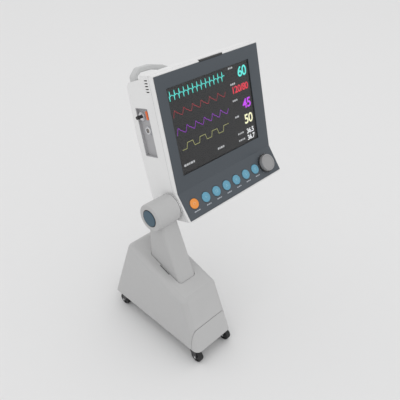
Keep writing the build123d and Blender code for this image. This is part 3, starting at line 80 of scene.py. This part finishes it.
# the case's left side: x runs to the front, y up along the screen, z outward
LEFT = Matrix.Translation((case_low[0], KINK[1], KINK[2])) @ Matrix(
    ((0, -cos(UPPER_LEAN), sin(UPPER_LEAN)), (0, sin(UPPER_LEAN), cos(UPPER_LEAN)), (-1, 0, 0))
).transposed().to_4x4()
RIGHT = Matrix.Translation((case_high[0], KINK[1], KINK[2])) @ Matrix(
    ((0, cos(UPPER_LEAN), -sin(UPPER_LEAN)), (0, sin(UPPER_LEAN), cos(UPPER_LEAN)), (1, 0, 0))
).transposed().to_4x4()


# ---------------------------------------------------------------- materials
def rgb(red, green, blue):
    """Linear colour of an 8-bit display colour."""
    shares = [v / 255 for v in (red, green, blue)]
    return tuple(((v + 0.055) / 1.055) ** 2.4 if v > 0.04 else v / 12.92 for v in shares)


def material(
    name, color, rough, grain=0.0, grain_size=0.8, mottle=0.04, metal=0.0, soft=0.5, wear_and_highlight=0.0, coat=0.0
):
    """Procedural finish: mottled colour, varied roughness, a grain bump, softened edges, and sharp edges
    painted lighter as wear and a painted highlight.
    """
    made = bpy.data.materials.new(name)
    made.use_nodes = True
    nodes, links = made.node_tree.nodes, made.node_tree.links
    shader = nodes["Principled BSDF"]
    shader.inputs["Metallic"].default_value = metal
    shader.inputs["Coat Weight"].default_value = coat
    place = nodes.new("ShaderNodeTexCoord")
    broad = nodes.new("ShaderNodeTexNoise")
    broad.inputs["Scale"].default_value = 14.0
    broad.inputs["Detail"].default_value = 5.0
    links.new(place.outputs["Object"], broad.inputs["Vector"])
    shades = nodes.new("ShaderNodeMix")
    shades.data_type = "RGBA"
    shades.inputs["A"].default_value = (*[c * (1 - mottle) for c in color], 1)
    shades.inputs["B"].default_value = (*[min(1, c * (1 + mottle)) for c in color], 1)
    links.new(broad.outputs["Fac"], shades.inputs["Factor"])
    tint = shades.outputs["Result"]
    # sharp edges painted lighter from pointiness: partly edge wear, partly a painted highlight where light
    # catches the rims
    if wear_and_highlight:
        geometry = nodes.new("ShaderNodeNewGeometry")
        edge = nodes.new("ShaderNodeMapRange")
        edge.inputs["From Min"].default_value = 0.52
        edge.inputs["From Max"].default_value = 0.62
        edge.inputs["To Max"].default_value = wear_and_highlight
        links.new(geometry.outputs["Pointiness"], edge.inputs["Value"])
        edge_wear_and_highlight = nodes.new("ShaderNodeMix")
        edge_wear_and_highlight.data_type = "RGBA"
        edge_wear_and_highlight.inputs["B"].default_value = (*[min(1, c * 1.35 + 0.03) for c in color], 1)
        links.new(edge.outputs["Result"], edge_wear_and_highlight.inputs["Factor"])
        links.new(tint, edge_wear_and_highlight.inputs["A"])
        tint = edge_wear_and_highlight.outputs["Result"]
    links.new(tint, shader.inputs["Base Color"])
    smudge = nodes.new("ShaderNodeTexNoise")
    smudge.inputs["Scale"].default_value = 45.0
    smudge.inputs["Detail"].default_value = 4.0
    links.new(place.outputs["Object"], smudge.inputs["Vector"])
    spread = nodes.new("ShaderNodeMapRange")
    spread.inputs["To Min"].default_value = max(0.02, rough - 0.07)
    spread.inputs["To Max"].default_value = min(1.0, rough + 0.07)
    links.new(smudge.outputs["Fac"], spread.inputs["Value"])
    links.new(spread.outputs["Result"], shader.inputs["Roughness"])
    rounded = nodes.new("ShaderNodeBevel")
    rounded.samples = 4
    rounded.inputs["Radius"].default_value = soft * MM
    normal = rounded.outputs["Normal"]
    if grain:
        fine = nodes.new("ShaderNodeTexNoise")
        fine.inputs["Scale"].default_value = 1.0 / (grain_size * MM)
        fine.inputs["Detail"].default_value = 3.0
        links.new(place.outputs["Object"], fine.inputs["Vector"])
        bump = nodes.new("ShaderNodeBump")
        bump.inputs["Strength"].default_value = grain
        bump.inputs["Distance"].default_value = 0.05 * MM
        links.new(fine.outputs["Fac"], bump.inputs["Height"])
        links.new(normal, bump.inputs["Normal"])
        normal = bump.outputs["Normal"]
    links.new(normal, shader.inputs["Normal"])
    return made


def brushed(name, color, rough, across=(1, 1, 60)):
    """Metal with fine scratches drawn out along one direction."""
    made = material(name, color, rough, metal=1.0, mottle=0.03, soft=0.3)
    nodes, links = made.node_tree.nodes, made.node_tree.links
    place = nodes.new("ShaderNodeTexCoord")
    stretch = nodes.new("ShaderNodeMapping")
    stretch.inputs["Scale"].default_value = across
    links.new(place.outputs["Object"], stretch.inputs["Vector"])
    lines = nodes.new("ShaderNodeTexNoise")
    lines.inputs["Scale"].default_value = 120.0
    links.new(stretch.outputs["Vector"], lines.inputs["Vector"])
    bump = nodes.new("ShaderNodeBump")
    bump.inputs["Strength"].default_value = 0.12
    bump.inputs["Distance"].default_value = 0.05 * MM
    links.new(lines.outputs["Fac"], bump.inputs["Height"])
    links.new(bump.outputs["Normal"], nodes["Principled BSDF"].inputs["Normal"])
    return made


def lit(name, color, strength):
    """Display pixels that glow, with a faint raster."""
    made = bpy.data.materials.new(name)
    made.use_nodes = True
    nodes, links = made.node_tree.nodes, made.node_tree.links
    shader = nodes["Principled BSDF"]
    shader.inputs["Roughness"].default_value = 0.4
    shader.inputs["Emission Strength"].default_value = strength
    place = nodes.new("ShaderNodeTexCoord")
    raster = nodes.new("ShaderNodeTexNoise")
    raster.inputs["Scale"].default_value = 900.0
    links.new(place.outputs["Object"], raster.inputs["Vector"])
    shades = nodes.new("ShaderNodeMix")
    shades.data_type = "RGBA"
    shades.inputs["A"].default_value = (*[c * 0.92 for c in color], 1)
    shades.inputs["B"].default_value = (*color, 1)
    links.new(raster.outputs["Fac"], shades.inputs["Factor"])
    links.new(shades.outputs["Result"], shader.inputs["Base Color"])
    links.new(shades.outputs["Result"], shader.inputs["Emission Color"])
    return made


# the wear setting paints sharp edges lighter, as wear and a painted highlight on the rims
CASE = material("case_white", rgb(224, 224, 224), 0.46, grain=0.25, mottle=0.015, soft=0.8, wear_and_highlight=0.25)
SLATE = material("slate", rgb(68, 75, 82), 0.42, grain=0.3, mottle=0.03, soft=0.5, wear_and_highlight=0.15)
KEY_BLUE = material("key_blue", rgb(96, 160, 186), 0.3, grain=0.05, mottle=0.03, coat=0.3)
KEY_ORANGE = material("key_orange", rgb(240, 150, 58), 0.3, grain=0.05, mottle=0.03, coat=0.3)
TAB_ORANGE = material("tab_orange", rgb(232, 112, 52), 0.4, grain=0.15, mottle=0.04)
KNOB = material("knob_grey", rgb(152, 152, 153), 0.4, grain=0.2, mottle=0.03, wear_and_highlight=0.2)
RECESS = material("recess_grey", rgb(172, 172, 174), 0.5, grain=0.3, mottle=0.04)
BLACK = material("black_plastic", rgb(34, 34, 36), 0.42, grain=0.3, mottle=0.08)
ALARM = material("alarm_tint", rgb(14, 14, 16), 0.16, mottle=0.05, coat=0.5)
HANDLE = material("handle_grey", rgb(196, 197, 197), 0.55, grain=0.4, mottle=0.03, soft=1.2)
PEDESTAL = material(
    "pedestal_grey", rgb(184, 184, 184), 0.55, grain=0.35, grain_size=1.0, mottle=0.02, soft=1.0, wear_and_highlight=0.12
)
TEAL = material("teal_cap", rgb(30, 72, 92), 0.34, grain=0.1, mottle=0.05, coat=0.3)
PLATE = material("plate_paint", rgb(70, 71, 73), 0.5, grain=0.6, grain_size=1.4, mottle=0.06)
IRON = material("iron", rgb(72, 72, 74), 0.75, grain=1.0, grain_size=2.5, mottle=0.15)
CASTER = material("caster_black", rgb(40, 40, 43), 0.38, grain=0.15, mottle=0.08, wear_and_highlight=0.3)
RUBBER = material("wheel_rubber", rgb(34, 34, 36), 0.7, grain=0.6, grain_size=0.6, mottle=0.1)
BOARD = material("circuit_board", rgb(22, 98, 56), 0.35, grain=0.2, mottle=0.12, coat=0.4)
COMPONENT = material("component", rgb(38, 38, 40), 0.45, grain=0.2, mottle=0.08)
BATTERY = material("battery", rgb(60, 60, 64), 0.5, grain=0.2, mottle=0.05)
DISPLAY = material("display", rgb(50, 50, 51), 0.35, mottle=0.02)
MARK = material("pale_mark", rgb(176, 182, 190), 0.5, mottle=0.05)
SEAM_DARK = material("seam_dark", rgb(178, 179, 180), 0.7, mottle=0.05)
SIGN_WARM = material("sign_warm", rgb(250, 205, 160), 0.4, mottle=0.03)
SIGN_COOL = material("sign_cool", rgb(150, 200, 218), 0.4, mottle=0.03)
STEEL = brushed("steel", rgb(198, 198, 200), 0.34)
BRIGHT = brushed("bright_metal", rgb(214, 214, 216), 0.2, across=(60, 1, 1))
ALUMINIUM = brushed("sink_metal", rgb(202, 204, 207), 0.4)
BRASS = brushed("insert_brass", rgb(206, 172, 98), 0.3)
SPEAKER = material("speaker_metal", rgb(58, 58, 60), 0.45, grain=0.2, mottle=0.06, metal=0.6)


def cover_glass():
    """Thin clear front glass: a faint dark tint with soft reflections."""
    made = material("cover_glass", rgb(30, 32, 34), 0.14, mottle=0.02, soft=0.2)
    shader = made.node_tree.nodes["Principled BSDF"]
    shader.inputs["Alpha"].default_value = 0.14
    return made


GLASS = cover_glass()
CYAN = lit("trace_cyan", rgb(96, 226, 216), 0.55)
RED = lit("trace_red", rgb(222, 58, 76), 0.5)
RED_DIM = lit("trace_red_dim", rgb(168, 50, 62), 0.45)
PURPLE = lit("trace_purple", rgb(196, 72, 236), 0.55)
PURPLE_DIM = lit("trace_purple_dim", rgb(146, 52, 190), 0.6)
CREAM = lit("trace_cream", rgb(238, 236, 196), 0.6)
KHAKI = lit("trace_khaki", rgb(176, 178, 116), 0.5)
WHITE = lit("trace_white", rgb(232, 234, 236), 0.6)
LABEL = lit("trace_label", rgb(188, 190, 192), 0.35)

finishes = {
    "case_white": CASE, "slate": SLATE, "cover_glass": GLASS, "display": DISPLAY, "steel": STEEL,
    "key_orange": KEY_ORANGE, "key_blue": KEY_BLUE, "circuit_board": BOARD, "component": COMPONENT,
    "knob_grey": KNOB, "recess_grey": RECESS, "bright_metal": BRIGHT, "black_plastic": BLACK,
    "alarm_tint": ALARM, "handle_grey": HANDLE, "sink_metal": ALUMINIUM, "battery": BATTERY,
    "speaker_metal": SPEAKER, "insert_brass": BRASS, "teal_cap": TEAL, "pedestal_grey": PEDESTAL,
    "plate_paint": PLATE, "iron": IRON, "caster_black": CASTER, "wheel_rubber": RUBBER,
}
slot_of = {row["node"]: row["material_slot"] for row in frame["record"]["subparts"]}
for node, obj in frame["nodes"].items():
    finish = TAB_ORANGE if node == "release_tab" else finishes[slot_of[node]]
    for holder in obj.material_slots:
        holder.material = finish
    if not obj.material_slots:
        obj.data.materials.append(finish)


# ---------------------------------------------------------------- mesh helpers
LINE_LAP = 0.6  # how far the bars of a line run past their corners, in half widths


def piece(name, mesh, finish, body):
    """A mesh as an object that rides on a CAD body."""
    obj = bpy.data.objects.new(name, mesh)
    bpy.context.scene.collection.objects.link(obj)
    obj.data.materials.append(finish)
    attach(obj, body)
    return obj


def slab(name, outlines, place, thick, finish, body):
    """Flat plates with the given outlines (counter-clockwise, mm) raised from a plane by thick mm."""
    bm = bmesh.new()
    for outline in outlines:
        low = [bm.verts.new(place @ Vector((x * MM, y * MM, 0))) for x, y in outline]
        high = [bm.verts.new(place @ Vector((x * MM, y * MM, thick * MM))) for x, y in outline]
        bm.faces.new(high)
        bm.faces.new(low[::-1])
        for i in range(len(outline)):
            j = (i + 1) % len(outline)
            bm.faces.new((low[i], low[j], high[j], high[i]))
    mesh = bpy.data.meshes.new(name)
    bm.to_mesh(mesh)
    bm.free()
    return piece(name, mesh, finish, body)


def ribbon(name, points, width, place, thick, finish, body):
    """A raised line of constant width: one flat bar for each stretch, lapping at the corners."""
    bars = []
    for a, b in zip(points, points[1:]):
        start, end = Vector(a), Vector(b)
        along = (end - start).normalized() * width / 2
        side = Vector((-along.y, along.x))
        lap = along * LINE_LAP
        bars.append([start - lap - side, end + lap - side, end + lap + side, start - lap + side])
    return slab(name, bars, place, thick, finish, body)


def rounded(x, y, wide, high, corner, steps=4):
    """Rounded rectangle outline about a centre, counter-clockwise."""
    points = []
    for cx, cy, start in (
        (wide / 2 - corner, high / 2 - corner, 0),
        (-wide / 2 + corner, high / 2 - corner, pi / 2),
        (-wide / 2 + corner, -high / 2 + corner, pi),
        (wide / 2 - corner, -high / 2 + corner, 3 * pi / 2),
    ):
        for i in range(steps + 1):
            turn = start + pi / 2 * i / steps
            points.append((x + cx + corner * cos(turn), y + cy + corner * sin(turn)))
    return points


def lathe(name, profile, place, finish, body, steps=48):
    """Turned piece: (radius, height) points in mm spun about the place's z axis."""
    bm = bmesh.new()
    rings = []
    for radius, height in profile:
        if radius < 1e-6:
            rings.append([bm.verts.new(place @ Vector((0, 0, height * MM)))])
            continue
        turns = [2 * pi * i / steps for i in range(steps)]
        spots = [Vector((radius * cos(turn), radius * sin(turn), height)) for turn in turns]
        rings.append([bm.verts.new(place @ (spot * MM)) for spot in spots])
    for a, b in zip(rings, rings[1:]):
        for i in range(steps):
            j = (i + 1) % steps
            corners = [a[i % len(a)], a[j % len(a)], b[j % len(b)], b[i % len(b)]]
            unique = list(dict.fromkeys(corners))
            if len(unique) > 2:
                bm.faces.new(unique)
    bmesh.ops.recalc_face_normals(bm, faces=bm.faces)
    mesh = bpy.data.meshes.new(name)
    bm.to_mesh(mesh)
    bm.free()
    for face in mesh.polygons:
        face.use_smooth = True
    mesh.set_sharp_from_angle(angle=radians(35))
    return piece(name, mesh, finish, body)


def digits(name, words, right, base, high, finish):
    """Number on the display, its right end and foot given in mm on the screen, high mm tall."""
    curve = bpy.data.curves.new(name, "FONT")
    curve.body = words
    curve.size = high * MM / 0.73
    curve.align_x = "RIGHT"
    curve.offset = high * MM * 0.03
    curve.space_character = 0.93
    helper = bpy.data.objects.new(name + "_text", curve)
    bpy.context.scene.collection.objects.link(helper)
    bpy.context.view_layer.update()
    mesh = bpy.data.meshes.new_from_object(helper.evaluated_get(bpy.context.evaluated_depsgraph_get()))
    bpy.data.objects.remove(helper)
    mesh.transform(SCREEN @ Matrix.Translation((right * MM, base * MM, UI_DEEP * MM)))
    mesh.materials.clear()
    return piece(name, mesh, finish, "monitor")


# ---------------------------------------------------------------- display picture
UI_DEEP = -3.9  # picture plane behind the bezel's face
UI_THICK = 0.05
FILM_BEHIND, FILM_THICK = 0.04, 0.03
UI = SCREEN @ Matrix.Translation((0, 0, UI_DEEP * MM))

# dark film that carries the picture, edge to edge behind the glass
glass_low, glass_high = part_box("screen_glass")
film_x = ((glass_low[0] + glass_high[0]) / 2 - KINK[0]) / MM
film_w = (glass_high[0] - glass_low[0]) / MM - 2.0
glass_mid = Vector((KINK.x, (glass_low[1] + glass_high[1]) / 2, (glass_low[2] + glass_high[2]) / 2))
film_up = (glass_mid - KINK).dot(SCREEN.to_3x3() @ Vector((0, 1, 0))) / MM
film_h = (glass_high[2] - glass_low[2]) / MM / cos(UPPER_LEAN) - 3.0
film_place = SCREEN @ Matrix.Translation((0, 0, (UI_DEEP - FILM_BEHIND) * MM))
film = rounded(film_x, film_up, film_w, film_h, 1.5)
slab("display_film", [film], film_place, FILM_THICK, DISPLAY, "monitor")

# waveforms: across and up in mm on the screen
BEATS, BEAT_PITCH, ECG_LEFT, ECG_UP = 13, 15.75, -152.0, 248.5
ecg = []
for beat in range(BEATS):
    start = ECG_LEFT + beat * BEAT_PITCH
    ecg += [(start, ECG_UP), (start + 1.4, ECG_UP - 12.0), (start + 3.4, ECG_UP + 12.0)]
    ecg += [(start + 5.0, ECG_UP - 1.0), (start + 8.5, ECG_UP + 2.0), (start + 12.0, ECG_UP)]
ribbon("trace_ecg", ecg, 1.5, UI, UI_THICK, CYAN, "monitor")

WAVES, WAVE_PITCH = 6, 31.6


def wave(left, low, high, tail):
    """Pressure-like saw: steep rise, then a long fall with a notch."""
    rise = high - low
    points = [(left, low)]
    for i in range(WAVES):
        start = left + i * WAVE_PITCH
        points += [(start + 2.0, low + 0.35 * rise), (start + 6.0, high), (start + 9.0, high - 0.12 * rise)]
        points += [(start + 14.0, low + 0.52 * rise), (start + 17.0, low + 0.5 * rise)]
        points += [(start + 24.0, low + 0.16 * rise), (start + 29.5, low)]
    points.append((left + WAVES * WAVE_PITCH + tail, low + 0.7 * rise))
    return points


ribbon("trace_pressure", wave(-150.0, 194.0, 211.0, 4.0), 1.2, UI, UI_THICK, RED_DIM, "monitor")
ribbon("trace_oxygen", wave(-149.5, 147.0, 164.5, 6.0), 1.3, UI, UI_THICK, PURPLE_DIM, "monitor")
STEP_LOW, STEP_HIGH, STEP_LEFT, STEP_PITCH = 104.5, 119.5, -142.0, 46.5
steps = [(STEP_LEFT, STEP_LOW)]
for i in range(4):
    start = STEP_LEFT + i * STEP_PITCH
    steps += [(start + 16.0, STEP_LOW), (start + 20.0, STEP_HIGH), (start + 40.0, STEP_HIGH)]
    if i < 3:
        steps += [(start + 44.5, STEP_LOW), (start + 46.5, STEP_LOW)]
ribbon("trace_gas", steps, 1.2, UI, UI_THICK, KHAKI, "monitor")

digits("reading_rate", "60", 138.5, 232.0, 28.0, CYAN)
digits("reading_pressure", "120/80", 138.0, 192.5, 19.5, RED)
digits("reading_oxygen", "45", 140.5, 141.0, 27.0, PURPLE)
digits("reading_gas", "50", 139.5, 96.0, 27.5, CREAM)
digits("reading_warm_1", "36.5", 138.0, 66.0, 14.5, WHITE)
digits("reading_warm_2", "36.7", 138.0, 46.5, 14.5, WHITE)


def mark_row(x, up, widths, high, gap=1.6):
    """Outlines of a row of small plain blocks in place of lettering."""
    outlines = []
    for wide in widths:
        outlines.append(rounded(x + wide / 2, up, wide, high, min(wide, high) * 0.2, steps=2))
        x += wide + gap
    return outlines


labels = []
for up, widths in ((262.7, (5, 4, 5)), (218.5, (5, 6, 5)), (172.8, (4, 7, 5)), (125.8, (6, 8))):
    labels += mark_row(67.0, up, widths, 5.0)
for up, widths in ((75.5, (5, 4, 4, 6)), (55.5, (5, 6, 4, 6))):
    labels += mark_row(69.0, up, widths, 5.0)
labels += mark_row(-147.0, 62.8, (8, 6, 4, 9, 5), 6.0)
labels += mark_row(-18.5, 63.8, (5, 4, 7, 5), 6.0)
slab("display_marks", labels, UI, UI_THICK, LABEL, "monitor")

# ---------------------------------------------------------------- control panel
CONTROL_DROP = 41.8  # controls' line below the kink
SIGNS = (
    [(-4, 0), (-2, 0), (-1, 3), (1, -3), (2, 0), (4, 0)],
    [(-3.5, -3), (-3.5, 3), (3.5, 3), (3.5, -3), (-3.5, -3)],
    [(-3.5, -2.5), (0, 3.5), (3.5, -2.5), (-3.5, -2.5)],
    [(-4, 2), (-1.5, 2), (-1.5, -2), (1.5, -2), (1.5, 2), (4, 2)],
    [(0, 4), (0, -3.5), (-3, -0.5), (0, -3.5), (3, -0.5)],
    [(-3.5, 3), (3.5, 3), (-3.5, -3), (3.5, -3)],
)
panel_marks = []
key_names = ["power_key"] + [f"menu_key_{i}" for i in range(1, 7)]
key_width = {"power_key": (8, 5, 6)}
for key in key_names:
    low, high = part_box(key)
    x = ((low[0] + high[0]) / 2 - KINK[0]) / MM
    widths = key_width.get(key, (5, 6, 4))
    total = sum(widths) + 1.2 * (len(widths) - 1)
    panel_marks += mark_row(x - total / 2, -62.8, widths, 2.8, gap=1.2)
slab("panel_marks", panel_marks, PANEL, 0.06, MARK, "monitor")

# light signs on the keys: a broken ring with a bar on the power key, plain strokes on the others
KEY_FACE = 1.2  # dished face above the panel
for key in key_names:
    low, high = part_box(key)
    x = ((low[0] + high[0]) / 2 - KINK[0]) / MM
    place = PANEL @ Matrix.Translation((x * MM, -CONTROL_DROP * MM, KEY_FACE * MM))
    if key == "power_key":
        arc = [(3.6 * sin(radians(a)), 3.6 * cos(radians(a))) for a in range(40, 321, 20)]
        ribbon("sign_power_ring", arc, 0.9, place, 0.3, SIGN_WARM, key)
        ribbon("sign_power_bar", [(0, 1.2), (0, 4.6)], 0.9, place, 0.3, SIGN_WARM, key)
        continue
    strokes = SIGNS[int(key[-1]) - 1]
    ribbon("sign_" + key, strokes, 0.8, place, 0.3, SIGN_COOL, key)

# dark sleeve round the knob's skirt, and a ring of fine ticks round it on the panel
knob_low, knob_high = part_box("control_knob")
knob_x = ((knob_low[0] + knob_high[0]) / 2 - KINK[0]) / MM
knob_place = PANEL @ Matrix.Translation((knob_x * MM, -CONTROL_DROP * MM, 0))
KNOB_LIFT, SKIRT_TOP, GRIP_R = 1.0, 4.0, 25.5  # skirt's foot and top above the panel, radius of the grip
skirt_r = (knob_high[0] - knob_low[0]) / 2 / MM
sleeve = [
    (GRIP_R - 0.3, SKIRT_TOP - 0.3), (GRIP_R + 0.1, SKIRT_TOP + 0.1), (skirt_r - 0.2, SKIRT_TOP + 0.1),
    (skirt_r + 0.15, SKIRT_TOP - 0.3), (skirt_r + 0.15, KNOB_LIFT + 0.1), (skirt_r - 0.5, KNOB_LIFT + 0.1),
    (GRIP_R - 0.3, SKIRT_TOP - 0.3),
]
lathe("knob_sleeve", sleeve, knob_place, BLACK, "knob", steps=96)
TICKS, TICK_SWEEP = 11, 270
ticks = []
for i in range(TICKS):
    turn = radians(-TICK_SWEEP / 2 + TICK_SWEEP / (TICKS - 1) * i)
    ring = Matrix.Rotation(-turn, 3, "Z")
    tick = [(0.35, 29.4), (0.35, 31.2), (-0.35, 31.2), (-0.35, 29.4)]
    ticks.append([tuple((ring @ Vector((x, y, 0)))[:2]) for x, y in tick])
slab("knob_ticks", ticks, knob_place, 0.06, MARK, "monitor")

# key rings: a thin collar round every key's hole
collar = [(14.7, -0.6), (14.7, 0.3), (15.0, 0.6), (15.8, 0.6), (16.3, 0.0), (16.3, -0.6), (14.7, -0.6)]
for key in key_names:
    low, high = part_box(key)
    x = (low[0] + high[0]) / 2 - KINK[0]
    place = PANEL @ Matrix.Translation((x, -CONTROL_DROP * MM, 0))
    lathe("collar_" + key, collar, place, SLATE, "monitor")

# ---------------------------------------------------------------- case details
TOP, PANEL_FOOT = 311.0, 84.5  # upper and lower ends of the case on its two faces
SEAM_DEEP = 14.0
for side, place, turn in (("left", LEFT, 1), ("right", RIGHT, -1)):
    lean = LOWER_LEAN - UPPER_LEAN
    corner = (-SEAM_DEEP, -SEAM_DEEP * (1 - cos(lean)) / sin(lean))
    foot = (
        corner[0] + (PANEL_FOOT - 9.0) * sin(lean),
        corner[1] - (PANEL_FOOT - 9.0) * cos(lean),
    )
    line = [(turn * corner[0], TOP - 0.4), (turn * corner[0], corner[1]), (turn * foot[0], foot[1])]
    ribbon("case_seam_" + side, line, 0.7, place, 0.04, SEAM_DARK, "monitor")
top_place = SCREEN @ Matrix.Translation((0, TOP * MM, 0)) @ Matrix.Rotation(radians(-90), 4, "X")
slab(
    "case_seam_top",
    [rounded(0, SEAM_DEEP, 389.0, 0.7, 0.2, steps=1)],
    top_place, 0.04, SEAM_DARK, "monitor",
)

# pan-head case screws on the back
BACK = SCREEN @ Matrix.Rotation(pi, 4, "Y")
screw_spots = [(-172, 262), (172, 262), (-172, -4), (172, -4), (-172, 140), (172, 140)]


def back_depth(up):
    """Depth of the rear shell's outer face at a height on the screen."""
    belly_up, low_up, high_up, flat, belly = 153.0, -26.5, 283.0, 113.0, 7.0
    span = (belly_up - low_up) if up < belly_up else (high_up - belly_up)
    return flat + belly * (1 - abs(up - belly_up) / span)


for index, (x, up) in enumerate(screw_spots, start=1):
    place = BACK @ Matrix.Translation((-x * MM, up * MM, back_depth(up) * MM))
    head = [(0, 0.9), (1.1, 0.9), (1.3, 1.7), (2.6, 1.5), (3.4, 0.9), (3.6, 0.2), (3.6, -0.8), (0, -0.8)]
    lathe(f"case_screw_{index}", head, place, STEEL, "monitor", steps=32)
    cup = [(4.0, -0.4), (4.0, 0.25), (4.3, 0.4), (5.0, 0.3), (5.4, -0.4)]
    lathe(f"screw_cup_{index}", cup, place, CASE, "monitor", steps=32)

# contact pins in the sensor port, a knurled nut round it and a lock ring on the coupling
RECESS_IN = 7.5  # tray floor behind the case side


def on_tray(node):
    """Place on the tray's floor under a round piece, its axis along z."""
    low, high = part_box(node)
    middle = LEFT.inverted() @ ((Vector(low) + Vector(high)) / 2)
    return LEFT @ Matrix.Translation((middle.x, middle.y, -RECESS_IN * MM))


port_place = on_tray("sensor_port")
PINS, PIN_RING, PIN_FOOT = 5, 3.2, -5.1
pin = [(0, 4.6), (0.35, 4.4), (0.5, 4.0), (0.5, 0)]
for index in range(PINS):
    turn = 2 * pi * index / PINS + 0.3
    spot = Vector((PIN_RING * cos(turn), PIN_RING * sin(turn), PIN_FOOT)) * MM
    pin_place = port_place @ Matrix.Translation(spot)
    lathe(f"port_pin_{index + 1}", pin, pin_place, BRASS, "monitor", steps=16)
coupling_place = on_tray("hose_coupling")
KNURLS, KNURL_DEEP, NUT_WALL = 48, 0.35, 1.6


def knurled_nut(name, place, radius, rise):
    """Ring nut with fine teeth round its rim and a raised inner edge."""
    outer = []
    for i in range(2 * KNURLS):
        reach = radius + (KNURL_DEEP if i % 2 else 0)
        outer.append((reach * cos(pi * i / KNURLS), reach * sin(pi * i / KNURLS)))
    share = (radius - NUT_WALL) / radius
    inner = [(x * share, y * share) for x, y in outer]
    bm = bmesh.new()
    rings = []
    for points, height in ((outer, 0), (outer, rise), (inner, rise + 0.3), (inner, 0)):
        rings.append([bm.verts.new(place @ (Vector((x, y, height)) * MM)) for x, y in points])
    for a, b in zip(rings, rings[1:]):
        for i in range(2 * KNURLS):
            j = (i + 1) % (2 * KNURLS)
            bm.faces.new((a[i], a[j], b[j], b[i]))
    bmesh.ops.recalc_face_normals(bm, faces=bm.faces)
    mesh = bpy.data.meshes.new(name)
    bm.to_mesh(mesh)
    bm.free()
    piece(name, mesh, ALUMINIUM, "monitor")


knurled_nut("port_nut", port_place, 12.4, 1.4)
knurled_nut("coupling_nut", coupling_place, 11.7, 1.6)

# ---------------------------------------------------------------- pedestal details
cap_low, cap_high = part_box("pivot_cap")
cap_mid = Vector([(a + b) / 2 for a, b in zip(cap_low, cap_high)])
cap_place = Matrix.Translation((cap_low[0], cap_mid[1], cap_mid[2])) @ Matrix.Rotation(radians(-90), 4, "Y")
CAP_PROUD = 1.5
cap_radius = (cap_high[2] - cap_low[2]) / 2 / MM
ring = [(cap_radius + 0.1, -0.4), (cap_radius + 0.1, 0.5), (cap_radius + 0.6, 0.9), (cap_radius + 1.6, 0.9)]
ring += [(cap_radius + 2.2, 0.2), (cap_radius + 2.2, -0.4)]
ring_place = cap_place @ Matrix.Translation((0, 0, -CAP_PROUD * MM))
lathe("cap_ring", ring, ring_place, BLACK, "base", steps=72)
lathe("cap_boss", [(0, -0.02), (7.0, -0.02), (7.6, -0.3), (8.0, -0.6)], cap_place, TEAL, "base")

for tag in ("fl", "fr", "rl", "rr"):
    low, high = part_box("wheel_" + tag)
    middle = Vector([(a + b) / 2 for a, b in zip(low, high)])
    for side, turn in (("in", radians(90)), ("out", radians(-90))):
        reach = high[0] - middle[0]
        way = 1 if turn > 0 else -1
        hub_at = (middle[0] + way * (reach - 3 * MM), middle[1], middle[2])
        place = Matrix.Translation(hub_at) @ Matrix.Rotation(turn, 4, "Y")
        hub = [(3.2, 0.0), (3.2, 2.2), (4.2, 2.6), (5.2, 2.0), (9.6, 0.7), (11.6, 0.8), (12.2, 0.0)]
        lathe(f"hub_{side}_{tag}", hub, place, CASTER, "wheel_" + tag, steps=40)
    fork_low, fork_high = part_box("caster_fork_" + tag)
    for side, edge, turn in (("in", fork_high[0], radians(90)), ("out", fork_low[0], radians(-90))):
        place = Matrix.Translation((edge, middle[1], middle[2])) @ Matrix.Rotation(turn, 4, "Y")
        rivet = [(0, 0.5), (1.8, 0.3), (2.9, -0.3), (3.2, -0.8)]
        lathe(f"rivet_{side}_{tag}", rivet, place, STEEL, "caster_" + tag, steps=28)

# ---------------------------------------------------------------- floor, light, camera
floor_mesh = bpy.data.meshes.new("floor")
HALF_FLOOR = 14.0
floor_corners = [(x * HALF_FLOOR, y * HALF_FLOOR, 0) for x, y in ((-1, -1), (1, -1), (1, 1), (-1, 1))]
floor_mesh.from_pydata(floor_corners, [], [(0, 1, 2, 3)])
floor = bpy.data.objects.new("floor", floor_mesh)
bpy.context.scene.collection.objects.link(floor)
floor.data.materials.append(material("floor_pale", (0.80, 0.80, 0.802), 0.9, mottle=0.004))
floor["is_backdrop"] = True

world = bpy.data.worlds.new("studio")
world.use_nodes = True
world.node_tree.nodes["Background"].inputs["Color"].default_value = (1.0, 1.0, 1.0, 1)
world.node_tree.nodes["Background"].inputs["Strength"].default_value = 0.90
bpy.context.scene.world = world


def soft_light(name, place, aim, size, power):
    """Square area light pointed at a place."""
    lamp = bpy.data.lights.new(name, "AREA")
    lamp.size = size
    lamp.energy = power
    holder = bpy.data.objects.new(name, lamp)
    holder.location = place
    holder.rotation_euler = (Vector(aim) - Vector(place)).to_track_quat("-Z", "Y").to_euler()
    bpy.context.scene.collection.objects.link(holder)


soft_light("key_light", (-1.6, -2.6, 3.4), (0, 0, 0.3), 3.0, 9.0)
soft_light("top_light", (0.6, 0.4, 4.2), (0, 0, 0.2), 4.0, 8.0)

camera_data = bpy.data.cameras.new("camera")
camera_data.lens = 45.44
camera_data.sensor_width = 36.0
camera = bpy.data.objects.new("camera", camera_data)
bpy.context.scene.collection.objects.link(camera)
BEHIND = Vector((-0.9270, -0.8100, 0.7309))  # camera from the kink's centre
AZIMUTH, ELEVATION = radians(-45.309), radians(34.366)
back = Vector((sin(AZIMUTH) * cos(ELEVATION), -cos(AZIMUTH) * cos(ELEVATION), sin(ELEVATION)))
camera.location = KINK + BEHIND
camera.rotation_euler = (-back).to_track_quat("-Z", "Y").to_euler()
bpy.context.scene.camera = camera
bpy.context.scene.view_settings.view_transform = "Standard"

low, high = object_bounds()
